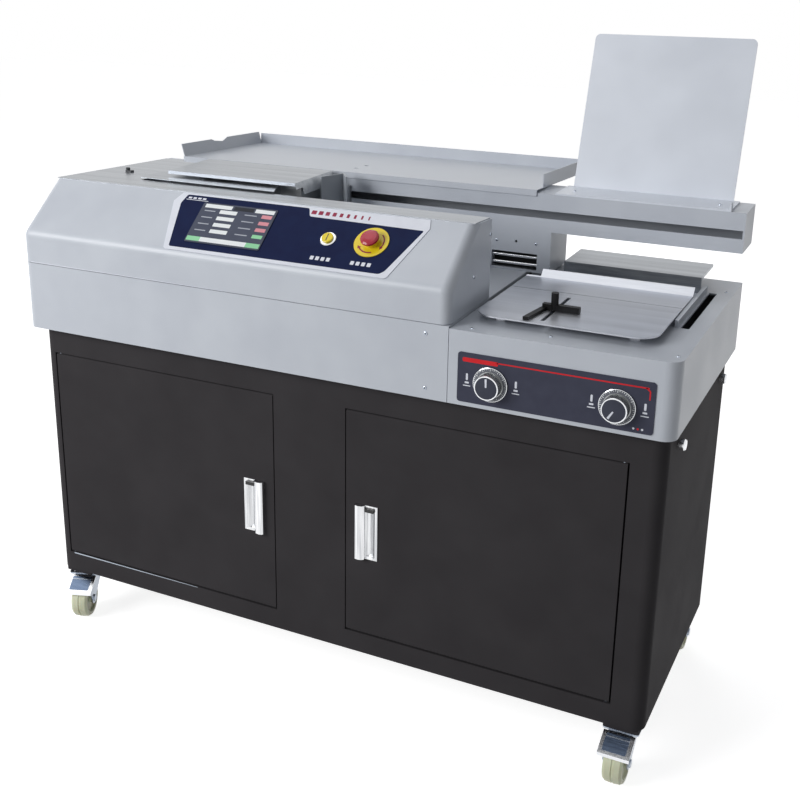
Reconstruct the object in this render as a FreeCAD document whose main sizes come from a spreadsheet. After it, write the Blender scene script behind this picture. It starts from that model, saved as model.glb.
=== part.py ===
import FreeCAD, Part
import Sketcher
import math
import os
import re

# Floor-standing hot-melt book binding machine, millimetres.
# Front at -Y, length along X, Z up, origin under the middle of the whole outline.
# Reaches are measured from the cabinet's left side, its front face or its underside.

doc = FreeCAD.newDocument("binding_machine")
sheet = doc.addObject("Spreadsheet::Sheet", "Sizes")

SIZES = [
    # cabinet
    ("cabinet_length", "1180"),
    ("cabinet_depth", "443"),
    ("cabinet_height", "513"),
    ("cabinet_corner", "22"),
    ("cabinet_wall", "3"),
    ("frame_depth", "24"),
    ("left_stile", "24"),
    ("right_stile", "54"),
    ("bottom_rail", "38"),
    ("middle_stile", "140"),
    ("opening_height", "424"),
    ("divider_wall", "3"),
    ("vent_length", "150"),
    ("vent_height", "6"),
    ("vent_pitch", "18"),
    ("vent_level", "330"),
    ("vent_reach", "200"),
    # overhangs that set the outline
    ("skirt_overhang", "18"),
    ("rear_overhang", "19"),
    ("beam_overhang", "24"),
    ("dial_stand", "22"),
    # doors, their pins and pulls
    ("door_gap", "2"),
    ("hinge_gap", "3"),
    ("door_thickness", "18"),
    ("door_skin", "3"),
    ("door_rim", "14"),
    ("door_edge_round", "4"),
    ("pin_inset", "6"),
    ("pin_radius", "3"),
    ("pin_reach", "12"),
    ("running_gap", "0.1"),
    ("clear_gap", "0.3"),
    ("cut_overrun", "1"),
    ("handle_height", "102"),
    ("handle_width", "42"),
    ("handle_level", "190"),
    ("handle_setback", "19"),
    ("handle_flange", "2"),
    ("handle_cup_depth", "13"),
    ("handle_rim", "4"),
    ("handle_wall", "1.5"),
    ("pull_width", "19"),
    ("pull_stand", "9"),
    ("pull_wall", "3"),
    # casters
    ("caster_height", "100"),
    ("pad_thickness", "10"),
    ("pad_side", "58"),
    ("caster_inset", "36"),
    ("caster_setback", "36"),
    ("plate_side", "60"),
    ("plate_wall", "3"),
    ("plate_corner", "6"),
    ("plate_hole_radius", "3.2"),
    ("plate_hole_spacing", "44"),
    ("race_radius", "22"),
    ("race_height", "5"),
    ("kingpin_radius", "5"),
    ("kingpin_end", "1"),
    ("wheel_radius", "37.5"),
    ("wheel_width", "32"),
    ("trail", "34"),
    ("axle_radius", "4"),
    ("axle_nut_radius", "7"),
    ("axle_nut_thickness", "2.5"),
    ("fork_gap", "2"),
    ("fork_wall", "2.5"),
    ("fork_back", "18"),
    ("fork_front", "34"),
    ("fork_shoulder", "56"),
    ("fork_shoulder_drop", "26"),
    ("fork_back_drop", "18"),
    ("fork_end_radius", "11"),
    ("pedal_width", "52"),
    ("pedal_wall", "2"),
    ("pedal_start", "31"),
    ("pedal_reach", "70"),
    ("pedal_fall", "18"),
    ("pedal_lip", "6"),
    ("pivot_radius", "2"),
    ("pivot_setback", "33"),
    ("pivot_drop", "12"),
    ("ear_wall", "1.6"),
    ("ear_radius", "4"),
    # painted base and hood
    ("base_height", "127"),
    ("base_flange", "24"),
    ("cover_wall", "2.5"),
    ("hood_reach", "835"),
    ("hood_front_height", "57"),
    ("slope_rise", "82"),
    ("slope_run", "103"),
    ("deck_fall", "3"),
    ("hood_corner", "16"),
    ("crease_round", "20"),
    ("channel_front", "155"),
    ("left_block_reach", "130"),
    ("seam_gap", "1"),
    ("shaft_hole_radius", "14"),
    # stainless deck plate
    ("deck_wall", "1.5"),
    ("deck_margin", "3"),
    ("deck_back", "440"),
    # control panel on the slope
    ("panel_wall", "1.2"),
    ("panel_left", "266"),
    ("panel_length", "496"),
    ("panel_foot", "5"),
    ("panel_height", "125"),
    ("panel_corner", "7"),
    ("screen_length", "150"),
    ("screen_height", "88"),
    ("screen_wall", "1.6"),
    ("screen_reach", "331"),
    ("screen_foot", "25"),
    ("screen_corner", "3"),
    ("start_reach", "596"),
    ("start_height", "67"),
    ("bezel_radius", "14"),
    ("bezel_wall", "3"),
    ("start_radius", "10"),
    ("start_stand", "3"),
    ("start_travel", "3"),
    ("button_spacing", "78"),
    ("stop_reach", "=start_reach + button_spacing"),
    ("stop_height", "71"),
    ("stop_plate_radius", "30"),
    ("stop_plate_wall", "1.5"),
    ("stop_head_radius", "16"),
    ("stop_head_height", "7.5"),
    ("stop_stem_radius", "9"),
    ("stop_stand", "9.5"),
    ("stop_travel", "3"),
    ("stop_collar", "1.6"),
    # beam, posts and rail
    ("beam_setback", "345"),
    ("beam_depth", "85"),
    ("beam_level", "716"),
    ("beam_height", "68"),
    ("beam_wall", "3"),
    ("beam_start", "130"),
    ("slot_level", "740"),
    ("slot_height", "14"),
    ("rail_side", "14"),
    ("rail_margin", "12"),
    ("left_post_reach", "150"),
    ("left_post_length", "90"),
    ("right_post_reach", "760"),
    ("right_post_length", "117"),
    ("right_post_depth", "97"),
    ("post_wall", "4"),
    ("post_hole_radius", "2.5"),
    ("post_window_inset", "7"),
    ("post_window_length", "86"),
    ("post_window_sill", "3"),
    ("post_window_height", "30"),
    # paper tray
    ("tray_reach", "98"),
    ("tray_length", "749"),
    ("tray_depth", "305"),
    ("tray_setback", "343"),
    ("tray_wall", "1.5"),
    ("tray_flange", "11"),
    ("tray_lip", "22"),
    ("tray_flap", "24"),
    ("tray_flap_lean", "8"),
    ("tray_dip", "7"),
    ("right_flap_start", "36"),
    ("tray_hole_radius", "5"),
    ("tray_hole_reach", "365"),
    ("tray_hole_setback", "58"),
    ("tray_hole_pitch", "44"),
    ("rib_wall", "3"),
    ("rib_reach", "170"),
    ("rib_drop", "60"),
    ("rib_inset", "110"),
    # book rest
    ("rest_foot_reach", "880"),
    ("rest_foot_length", "299"),
    ("rest_foot_depth", "79"),
    ("rest_margin", "10"),
    ("rest_height", "277"),
    ("rest_lean", "17.5"),
    ("rest_wall", "3"),
    ("rest_corner", "9"),
    ("rest_ear", "14"),
    # clamp carriage
    ("jaw_length", "290"),
    ("jaw_start", "150"),
    ("jaw_foot", "672"),
    ("rear_jaw_thickness", "9"),
    ("rear_jaw_top", "772"),
    ("jaw_front_gap", "2"),
    ("front_jaw_thickness", "108"),
    ("front_jaw_top", "778"),
    ("cover_level", "792"),
    ("clamp_cover_wall", "1.5"),
    ("clamp_cover_reach", "168"),
    ("clamp_cover_length", "277"),
    ("clamp_cover_front", "190"),
    ("clamp_cover_back", "331"),
    ("clamp_cover_fold", "6"),
    ("clamp_cover_drop", "23"),
    ("clamp_cover_slope_out", "7"),
    ("cover_relief_length", "23"),
    ("cover_relief_level", "11"),
    ("rod_radius", "6"),
    ("rod_level", "750"),
    ("rod_inset", "45"),
    ("rod_front", "200"),
    ("neck_length", "120"),
    ("neck_height", "12"),
    ("arm_wall", "4"),
    ("arm_height", "36"),
    ("runner_height", "24"),
    ("runner_depth", "22"),
    ("bracket_reach", "457"),
    ("bracket_bend_run", "20"),
    ("bracket_length", "40"),
    ("bracket_front", "268"),
    ("bracket_back", "316"),
    ("bracket_return", "28"),
    ("bracket_level", "742"),
    ("bracket_height", "50"),
    ("bracket_wall", "3"),
    # cutter
    ("cutter_reach", "540"),
    ("cutter_setback", "313"),
    ("cutter_radius", "60"),
    ("cutter_thickness", "10"),
    ("cutter_lift", "12"),
    ("cutter_tooth", "7"),
    ("cutter_tooth_width", "9"),
    ("cutter_shaft_radius", "8"),
    ("motor_radius", "48"),
    ("motor_height", "104"),
    ("motor_drop", "4"),
    # glue unit
    ("tank_gap", "4"),
    ("tank_length", "150"),
    ("tank_front", "238"),
    ("tank_depth", "104"),
    ("tank_level", "590"),
    ("tank_height", "64"),
    ("tank_wall", "4"),
    ("tank_rim", "6"),
    ("roller_radius", "32"),
    ("roller_spacing", "68"),
    ("roller_length", "88"),
    ("roller_level", "634"),
    ("roller_shaft_radius", "6"),
    # cover table
    ("table_reach", "1192"),
    ("table_height", "123"),
    ("table_wall", "3"),
    ("cover_plate_reach", "855"),
    ("cover_plate_length", "287"),
    ("cover_plate_front", "28"),
    ("cover_plate_depth", "180"),
    ("cover_plate_corner", "36"),
    ("plate_level", "648"),
    ("table_plate_wall", "2"),
    ("spacer_length", "14"),
    ("spacer_inset", "30"),
    ("guide_slot_reach", "961"),
    ("guide_slot_width", "6"),
    ("guide_slot_front", "44"),
    ("guide_slot_length", "141"),
    ("guide_start", "100"),
    ("guide_bar_length", "60"),
    ("guide_bar_depth", "10"),
    ("guide_bar_height", "10"),
    ("guide_bar_reach", "945"),
    ("guide_lever_length", "64"),
    ("guide_lever_width", "9"),
    ("guide_lever_skew", "10"),
    ("guide_post_radius", "6"),
    ("guide_post_height", "29"),
    ("front_nip_front", "210"),
    ("front_nip_depth", "77"),
    ("nip_lip_run", "13"),
    ("nip_lip_rise", "14"),
    ("nip_lip_wall", "3"),
    ("nip_relief", "26"),
    ("nip_foot_width", "18"),
    ("nip_foot_inset", "24"),
    ("rear_nip_reach", "900"),
    ("rear_nip_length", "240"),
    ("rear_nip_front", "358"),
    ("rear_nip_depth", "101"),
    ("rear_nip_level", "664"),
    ("rear_nip_wall", "5"),
    ("rear_nip_rib_depth", "60"),
    ("side_slot_inset", "39"),
    ("side_slot_reach", "=table_reach - side_slot_inset"),
    ("side_slot_width", "13"),
    ("side_slot_front", "150"),
    ("side_slot_length", "220"),
    ("side_rail_gap", "9.5"),
    ("side_rail_reach", "=side_slot_reach - side_rail_gap"),
    ("side_rail_width", "6"),
    ("side_rail_height", "12"),
    ("table_gap_width", "8"),
    ("table_gap_depth", "18"),
    # dial panel
    ("dial_panel_reach", "852"),
    ("dial_panel_length", "308"),
    ("dial_panel_level", "520"),
    ("dial_panel_height", "82"),
    ("dial_panel_corner", "5"),
    ("left_dial_reach", "907"),
    ("right_dial_reach", "1105"),
    ("dial_level", "556"),
    ("dial_ring_radius", "28"),
    ("dial_ring_wall", "3"),
    ("knob_radius", "19"),
    ("knob_flute", "1.2"),
    ("dial_shaft_radius", "3"),
    ("dial_shaft_reach", "8"),
    # rear inlet and side screws
    ("inlet_reach", "70"),
    ("inlet_level", "70"),
    ("inlet_length", "50"),
    ("inlet_height", "34"),
    ("inlet_stand", "7"),
    ("inlet_wall", "4"),
    ("inlet_pocket", "6"),
    ("thumb_radius", "9"),
    ("thumb_height", "12"),
    ("thumb_level", "476"),
    ("thumb_front", "74"),
    ("thumb_back", "400"),
    # derived planes and outline
    ("tray_level", "=beam_level + beam_height + (beam_setback + beam_depth - tray_setback) * tan(deck_fall)"
     " + tray_wall / cos(deck_fall) + running_gap"),
    ("opening_length", "=(cabinet_length - left_stile - right_stile - middle_stile) / 2"),
    ("divider_reach", "=left_stile + opening_length + middle_stile / 2 - divider_wall / 2"),
    ("tank_reach", "=cutter_reach + cutter_radius + tank_gap"),
    ("total_length", "=skirt_overhang + cabinet_length + beam_overhang"),
    ("tray_run", "=tray_depth * cos(deck_fall) + tray_lip * sin(deck_fall)"),
    ("total_depth", "=skirt_overhang + dial_stand + tray_setback + tray_run"),
    ("left_edge", "=skirt_overhang - total_length / 2"),
    ("front_face", "=skirt_overhang + dial_stand - total_depth / 2"),
    ("base_level", "=caster_height"),
    ("cabinet_right", "=left_edge + cabinet_length"),
    ("cabinet_back", "=front_face + cabinet_depth"),
    ("cabinet_top", "=base_level + cabinet_height"),
    ("skirt_left", "=left_edge - skirt_overhang"),
    ("skirt_front", "=front_face - skirt_overhang"),
    ("skirt_back", "=cabinet_back + rear_overhang"),
    ("hood_right", "=left_edge + hood_reach"),
    ("seam_level", "=cabinet_top + base_height"),
    ("crease_level", "=seam_level + hood_front_height"),
    ("brow_front", "=skirt_front + slope_run"),
    ("brow_level", "=crease_level + slope_rise"),
    ("slope_length", "=sqrt(slope_run * slope_run + slope_rise * slope_rise)"),
    ("slope_sine", "=slope_rise / slope_length"),
    ("slope_cosine", "=slope_run / slope_length"),
    ("fall_share", "=tan(deck_fall)"),
    ("table_right", "=left_edge + table_reach"),
    ("table_top", "=cabinet_top + table_height"),
    ("beam_front", "=front_face + beam_setback"),
    ("beam_back", "=beam_front + beam_depth"),
    ("beam_foot", "=base_level + beam_level"),
    ("beam_top", "=beam_foot + beam_height"),
    ("beam_right", "=cabinet_right + beam_overhang"),
    ("fork_half", "=wheel_width / 2 + fork_gap + fork_wall"),
    ("fork_top", "=plate_wall + race_height + clear_gap"),
    ("axle_drop", "=caster_height - pad_thickness - wheel_radius"),
    ("door_length", "=opening_length - door_gap - hinge_gap"),
    ("right_opening", "=cabinet_length - right_stile - opening_length"),
]

NAMES = [name for name, value in SIZES]
for row, (name, value) in enumerate(SIZES, 1):
    sheet.set("A%d" % row, name)
    sheet.set("B%d" % row, value)
    sheet.setAlias("B%d" % row, name)
doc.recompute()


def size(name):
    return float(getattr(sheet, name))


def bound(text):
    return re.sub(r"[A-Za-z_]\w*", lambda m: ("Sizes." if m.group(0) in NAMES else "") + m.group(0), text)


X_AXIS = FreeCAD.Vector(1, 0, 0)
Y_AXIS = FreeCAD.Vector(0, 1, 0)
Z_AXIS = FreeCAD.Vector(0, 0, 1)
TURNS = {
    "x": FreeCAD.Rotation(Y_AXIS, 90),
    "y": FreeCAD.Rotation(X_AXIS, -90),
    "z": FreeCAD.Rotation(),
}
bodies = []


def new_body(label, place=None, turn=None):
    body = doc.addObject("PartDesign::Body", label)
    body.Label = label
    body.AllowCompound = True
    if turn is not None:
        body.Placement = FreeCAD.Placement(FreeCAD.Vector(), turn)
    if place is not None:
        for axis, text in zip("xyz", place):
            body.setExpression("Placement.Base." + axis, bound(text))
    bodies.append(body)
    return body


def new_sketch(body, name, plane, shift):
    sketch = body.newObject("Sketcher::SketchObject", name)
    planes = {item.Role: item for item in body.Origin.OriginFeatures}
    sketch.AttachmentSupport = [(planes[plane + "_Plane"], "")]
    sketch.MapMode = "FlatFace"
    for axis, text in zip("xyz", shift):
        sketch.setExpression("AttachmentOffset.Base." + axis, bound(text))
    return sketch


def outline(body, name, plane, points, shift=("0", "0", "0")):
    sketch = new_sketch(body, name, plane, shift)
    count = len(points)
    for i in range(count):
        start = FreeCAD.Vector(i, i * i + 1, 0)
        end = FreeCAD.Vector(i + 1, (i + 1) ** 2 + 1, 0)
        sketch.addGeometry(Part.LineSegment(start, end), False)
    for i in range(count):
        sketch.addConstraint(Sketcher.Constraint("Coincident", i, 2, (i + 1) % count, 1))
    for i, point in enumerate(points):
        for kind, text in zip(("DistanceX", "DistanceY"), point):
            index = sketch.addConstraint(Sketcher.Constraint(kind, -1, 1, i, 1, 1.0))
            sketch.setExpression("Constraints[%d]" % index, bound(text))
    return sketch


def circles(body, name, plane, rounds, shift=("0", "0", "0")):
    sketch = new_sketch(body, name, plane, shift)
    for i, (across, up, radius) in enumerate(rounds):
        sketch.addGeometry(Part.Circle(FreeCAD.Vector(i, i, 0), FreeCAD.Vector(0, 0, 1), 1), False)
        for kind, text in (("DistanceX", across), ("DistanceY", up)):
            index = sketch.addConstraint(Sketcher.Constraint(kind, -1, 1, i, 3, 1.0))
            sketch.setExpression("Constraints[%d]" % index, bound(text))
        index = sketch.addConstraint(Sketcher.Constraint("Radius", i, 1.0))
        sketch.setExpression("Constraints[%d]" % index, bound(radius))
    return sketch


def rectangle(left, low, right, high):
    return [(left, low), (right, low), (right, high), (left, high)]


def level_shift(plane, low, high, cutting):
    # XY and YZ sketches face up their axis, XZ sketches face down theirs
    if plane == "XZ":
        edge = low if cutting else high
        return ("0", "0", "0 - (%s)" % edge)
    return ("0", "0", high if cutting else low)


def padded(body, name, plane, points, low, high):
    sketch = outline(body, name + "_outline", plane, points, level_shift(plane, low, high, False))
    feature = body.newObject("PartDesign::Pad", name)
    feature.Profile = sketch
    feature.setExpression("Length", bound("(%s) - (%s)" % (high, low)))
    return feature


def pocketed(body, name, plane, points, low, high):
    sketch = outline(body, name + "_outline", plane, points, level_shift(plane, low, high, True))
    feature = body.newObject("PartDesign::Pocket", name)
    feature.Profile = sketch
    feature.setExpression("Length", bound("(%s) - (%s)" % (high, low)))
    return feature


def drilled(body, name, plane, rounds, low, high):
    sketch = circles(body, name + "_rounds", plane, rounds, level_shift(plane, low, high, True))
    feature = body.newObject("PartDesign::Pocket", name)
    feature.Profile = sketch
    feature.setExpression("Length", bound("(%s) - (%s)" % (high, low)))
    return feature


def raised(body, name, plane, rounds, low, high):
    sketch = circles(body, name + "_rounds", plane, rounds, level_shift(plane, low, high, False))
    feature = body.newObject("PartDesign::Pad", name)
    feature.Profile = sketch
    feature.setExpression("Length", bound("(%s) - (%s)" % (high, low)))
    return feature


def rod(body, name, axis, radius, length, place, kind="Additive"):
    feature = body.newObject("PartDesign::%sCylinder" % kind, name)
    feature.setExpression("Radius", bound(radius))
    feature.setExpression("Height", bound(length))
    feature.Placement = FreeCAD.Placement(FreeCAD.Vector(), TURNS[axis])
    for letter, text in zip("xyz", place):
        feature.setExpression("Placement.Base." + letter, bound(text))
    return feature


def box(body, name, sides, place, kind="Additive"):
    feature = body.newObject("PartDesign::%sBox" % kind, name)
    for prop, text in zip(("Length", "Width", "Height"), sides):
        feature.setExpression(prop, bound(text))
    for letter, text in zip("xyz", place):
        feature.setExpression("Placement.Base." + letter, bound(text))
    return feature


def turned(body, name, plane, axis, points, shift=("0", "0", "0")):
    sketch = outline(body, name + "_outline", plane, points, shift)
    feature = body.newObject("PartDesign::Revolution", name)
    feature.Profile = sketch
    feature.ReferenceAxis = (sketch, [axis + "_Axis"])
    feature.Angle = 360
    return feature


def rounded(body, name, base, radius, wanted):
    doc.recompute()
    names = ["Edge%d" % (i + 1) for i, edge in enumerate(base.Shape.Edges) if wanted(edge)]
    if not names:
        raise ValueError("no edge for " + name + " on " + body.Label)
    feature = body.newObject("PartDesign::Fillet", name)
    feature.Base = (base, names)
    feature.setExpression("Radius", bound(radius))
    return feature


def along(edge, axis):
    if len(edge.Vertexes) != 2:
        return False
    span = edge.Vertexes[1].Point - edge.Vertexes[0].Point
    return span.Length > 0 and abs(abs(span.dot(axis)) - span.Length) < 1e-6 * span.Length


def near(edge, **where):
    middle = edge.CenterOfMass
    return all(abs(getattr(middle, letter) - value) < 1e-3 for letter, value in where.items())


# Cabinet: folded sheet shell with two door openings, open at the back
shell = new_body("cabinet_shell")
plan = rectangle("left_edge", "front_face", "cabinet_right", "cabinet_back")
shell_block = padded(shell, "case", "XY", plan, "base_level", "cabinet_top")
rounded(shell, "case_corners", shell_block, "cabinet_corner",
        lambda edge: along(edge, Z_AXIS) and near(edge, y=size("front_face")))
room = rectangle("left_edge + cabinet_wall", "base_level + cabinet_wall",
                 "cabinet_right - cabinet_wall", "cabinet_top - cabinet_wall")
room_front = "front_face + frame_depth"
room_cut = pocketed(shell, "room", "XZ", room, room_front, "cabinet_back + cut_overrun")
rounded(shell, "room_corners", room_cut, "cabinet_corner - cabinet_wall",
        lambda edge: along(edge, Z_AXIS) and near(edge, y=size("front_face") + size("frame_depth")))
for side, start in (("left", "left_edge + left_stile"), ("right", "left_edge + right_opening")):
    gate = rectangle(start, "base_level + bottom_rail", start + " + opening_length",
                     "base_level + bottom_rail + opening_height")
    pocketed(shell, side + "_opening", "XZ", gate, "front_face - cut_overrun", room_front + " + cut_overrun")
for side, centre in (("left", "left_edge + caster_inset"), ("right", "cabinet_right - caster_inset")):
    for end, middle in (("front", "front_face + caster_setback"), ("rear", "cabinet_back - caster_setback")):
        box(shell, end + "_" + side + "_pad", ("pad_side", "pad_side", "pad_thickness"),
            (centre + " - pad_side / 2", middle + " - pad_side / 2", "base_level - pad_thickness"))

back = new_body("cabinet_back_panel")
back_plan = rectangle("left_edge + cabinet_wall", "base_level + cabinet_wall",
                      "cabinet_right - cabinet_wall", "cabinet_top - cabinet_wall")
padded(back, "sheet", "XZ", back_plan, "cabinet_back - cabinet_wall", "cabinet_back")
for side, start in (("left", "left_edge + vent_reach"),
                    ("right", "cabinet_right - vent_reach - vent_length")):
    vent_plan = rectangle(start, "base_level + vent_level",
                          start + " + vent_length", "base_level + vent_level + vent_height")
    vent = pocketed(back, side + "_vent", "XZ", vent_plan,
                    "cabinet_back - cabinet_wall - cut_overrun", "cabinet_back + cut_overrun")
    vents = back.newObject("PartDesign::LinearPattern", side + "_vents")
    vents.Originals = [vent]
    vents.Direction = (vent.Profile[0], ["V_Axis"])
    vents.setExpression("Length", bound("vent_pitch * 5"))
    vents.Occurrences = 6
    back.Tip = vents

divider = new_body("cabinet_divider")
box(divider, "sheet",
    ("divider_wall", "cabinet_depth - frame_depth - cabinet_wall", "cabinet_height - cabinet_wall * 2"),
    ("left_edge + divider_reach", room_front, "base_level + cabinet_wall"))

# Doors: folded pans flush with the cabinet's face, hung on pins at their outer edges
DOORS = [
    ("left", "left_edge + left_stile + hinge_gap", "left_edge + left_stile + hinge_gap + pin_inset",
     "left_edge + left_stile + hinge_gap + door_length - handle_setback - handle_width"),
    ("right", "left_edge + right_opening + door_gap",
     "left_edge + right_opening + door_gap + door_length - pin_inset",
     "left_edge + right_opening + door_gap + handle_setback"),
]
door_foot = "base_level + bottom_rail + door_gap"
door_top = "base_level + bottom_rail + opening_height - door_gap"
for side, start, pin_place, pull_place in DOORS:
    door = new_body(side + "_door")
    leaf_plan = rectangle(start, door_foot, start + " + door_length", door_top)
    leaf = padded(door, "leaf", "XZ", leaf_plan, "front_face", "front_face + door_thickness")
    rounded(door, "leaf_edges", leaf, "door_edge_round",
            lambda edge: along(edge, X_AXIS) and near(edge, y=size("front_face")))
    pan = rectangle(start + " + door_rim", door_foot + " + door_rim",
                    start + " + door_length - door_rim", door_top + " - door_rim")
    pocketed(door, "pan", "XZ", pan, "front_face + door_skin", "front_face + door_thickness + cut_overrun")
    hole = rectangle(pull_place + " + handle_rim", "base_level + handle_level + handle_rim",
                     pull_place + " + handle_width - handle_rim",
                     "base_level + handle_level + handle_height - handle_rim")
    pocketed(door, "pull_hole", "XZ", hole,
             "front_face - cut_overrun", "front_face + door_skin + cut_overrun")
    drilled(door, "lower_bore", "XY", [(pin_place, "front_face + pin_inset", "pin_radius + running_gap")],
            door_foot + " - cut_overrun", door_foot + " + pin_reach")
    drilled(door, "upper_bore", "XY", [(pin_place, "front_face + pin_inset", "pin_radius + running_gap")],
            door_top + " - pin_reach", door_top + " + cut_overrun")

    pins = new_body(side + "_door_pins")
    rod(pins, "lower_pin", "z", "pin_radius", "door_gap + pin_reach - cut_overrun",
        (pin_place, "front_face + pin_inset", "base_level + bottom_rail"))
    rod(pins, "upper_pin", "z", "pin_radius", "door_gap + pin_reach - cut_overrun",
        (pin_place, "front_face + pin_inset",
         "base_level + bottom_rail + opening_height - door_gap - pin_reach + cut_overrun"))

    # pull: flange frame, finger cup behind it and a half-round grip on the side away from the gap
    pull = new_body(side + "_door_handle")
    grip_right = side == "left"
    flange_plan = rectangle(pull_place, "base_level + handle_level",
                            pull_place + " + handle_width", "base_level + handle_level + handle_height")
    padded(pull, "flange", "XZ", flange_plan, "front_face - handle_flange", "front_face")
    cup_plan = rectangle(pull_place + " + handle_rim", "base_level + handle_level + handle_rim",
                         pull_place + " + handle_width - handle_rim",
                         "base_level + handle_level + handle_height - handle_rim")
    padded(pull, "cup", "XZ", cup_plan, "front_face", "front_face + handle_cup_depth")
    cavity_plan = rectangle(pull_place + " + handle_rim + handle_wall",
                            "base_level + handle_level + handle_rim + handle_wall",
                            pull_place + " + handle_width - handle_rim - handle_wall",
                            "base_level + handle_level + handle_height - handle_rim - handle_wall")
    pocketed(pull, "cavity", "XZ", cavity_plan, "front_face - handle_flange - cut_overrun",
             "front_face + handle_cup_depth - handle_wall")
    edge_place = pull_place + " + handle_width" if grip_right else pull_place
    sign = "-" if grip_right else "+"
    inner = edge_place + " %s pull_width" % sign
    grip_plan = [
        (edge_place, "front_face - handle_flange"),
        (edge_place + " %s pull_wall / 3" % sign, "front_face - handle_flange - pull_stand * 0.6"),
        (edge_place + " %s pull_wall" % sign, "front_face - handle_flange - pull_stand * 0.85"),
        (edge_place + " %s pull_width * 0.45" % sign, "front_face - handle_flange - pull_stand"),
        (edge_place + " %s pull_width * 0.8" % sign, "front_face - handle_flange - pull_stand * 0.85"),
        (inner, "front_face - handle_flange - pull_stand * 0.45"),
        (inner, "front_face - handle_flange - pull_stand * 0.45 + pull_wall"),
        (edge_place + " %s pull_width * 0.7" % sign,
         "front_face - handle_flange - pull_stand * 0.85 + pull_wall"),
        (edge_place + " %s pull_wall * 1.6" % sign,
         "front_face - handle_flange - pull_stand * 0.75 + pull_wall"),
        (edge_place + " %s pull_wall * 1.2" % sign, "front_face - handle_flange"),
    ]
    if grip_right:
        grip_plan.reverse()
    padded(pull, "grip", "XY", grip_plan,
           "base_level + handle_level", "base_level + handle_level + handle_height")
    for end, low in (("lower", "base_level + handle_level"),
                     ("upper", "base_level + handle_level + handle_height - handle_wall")):
        cap_plan = grip_plan[:5] + [grip_plan[5], (inner, "front_face - handle_flange")]
        if grip_right:
            cap_plan = [(inner, "front_face - handle_flange")] + grip_plan[4:]
        padded(pull, end + "_cap", "XY", cap_plan, low, low + " + handle_wall")


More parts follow.
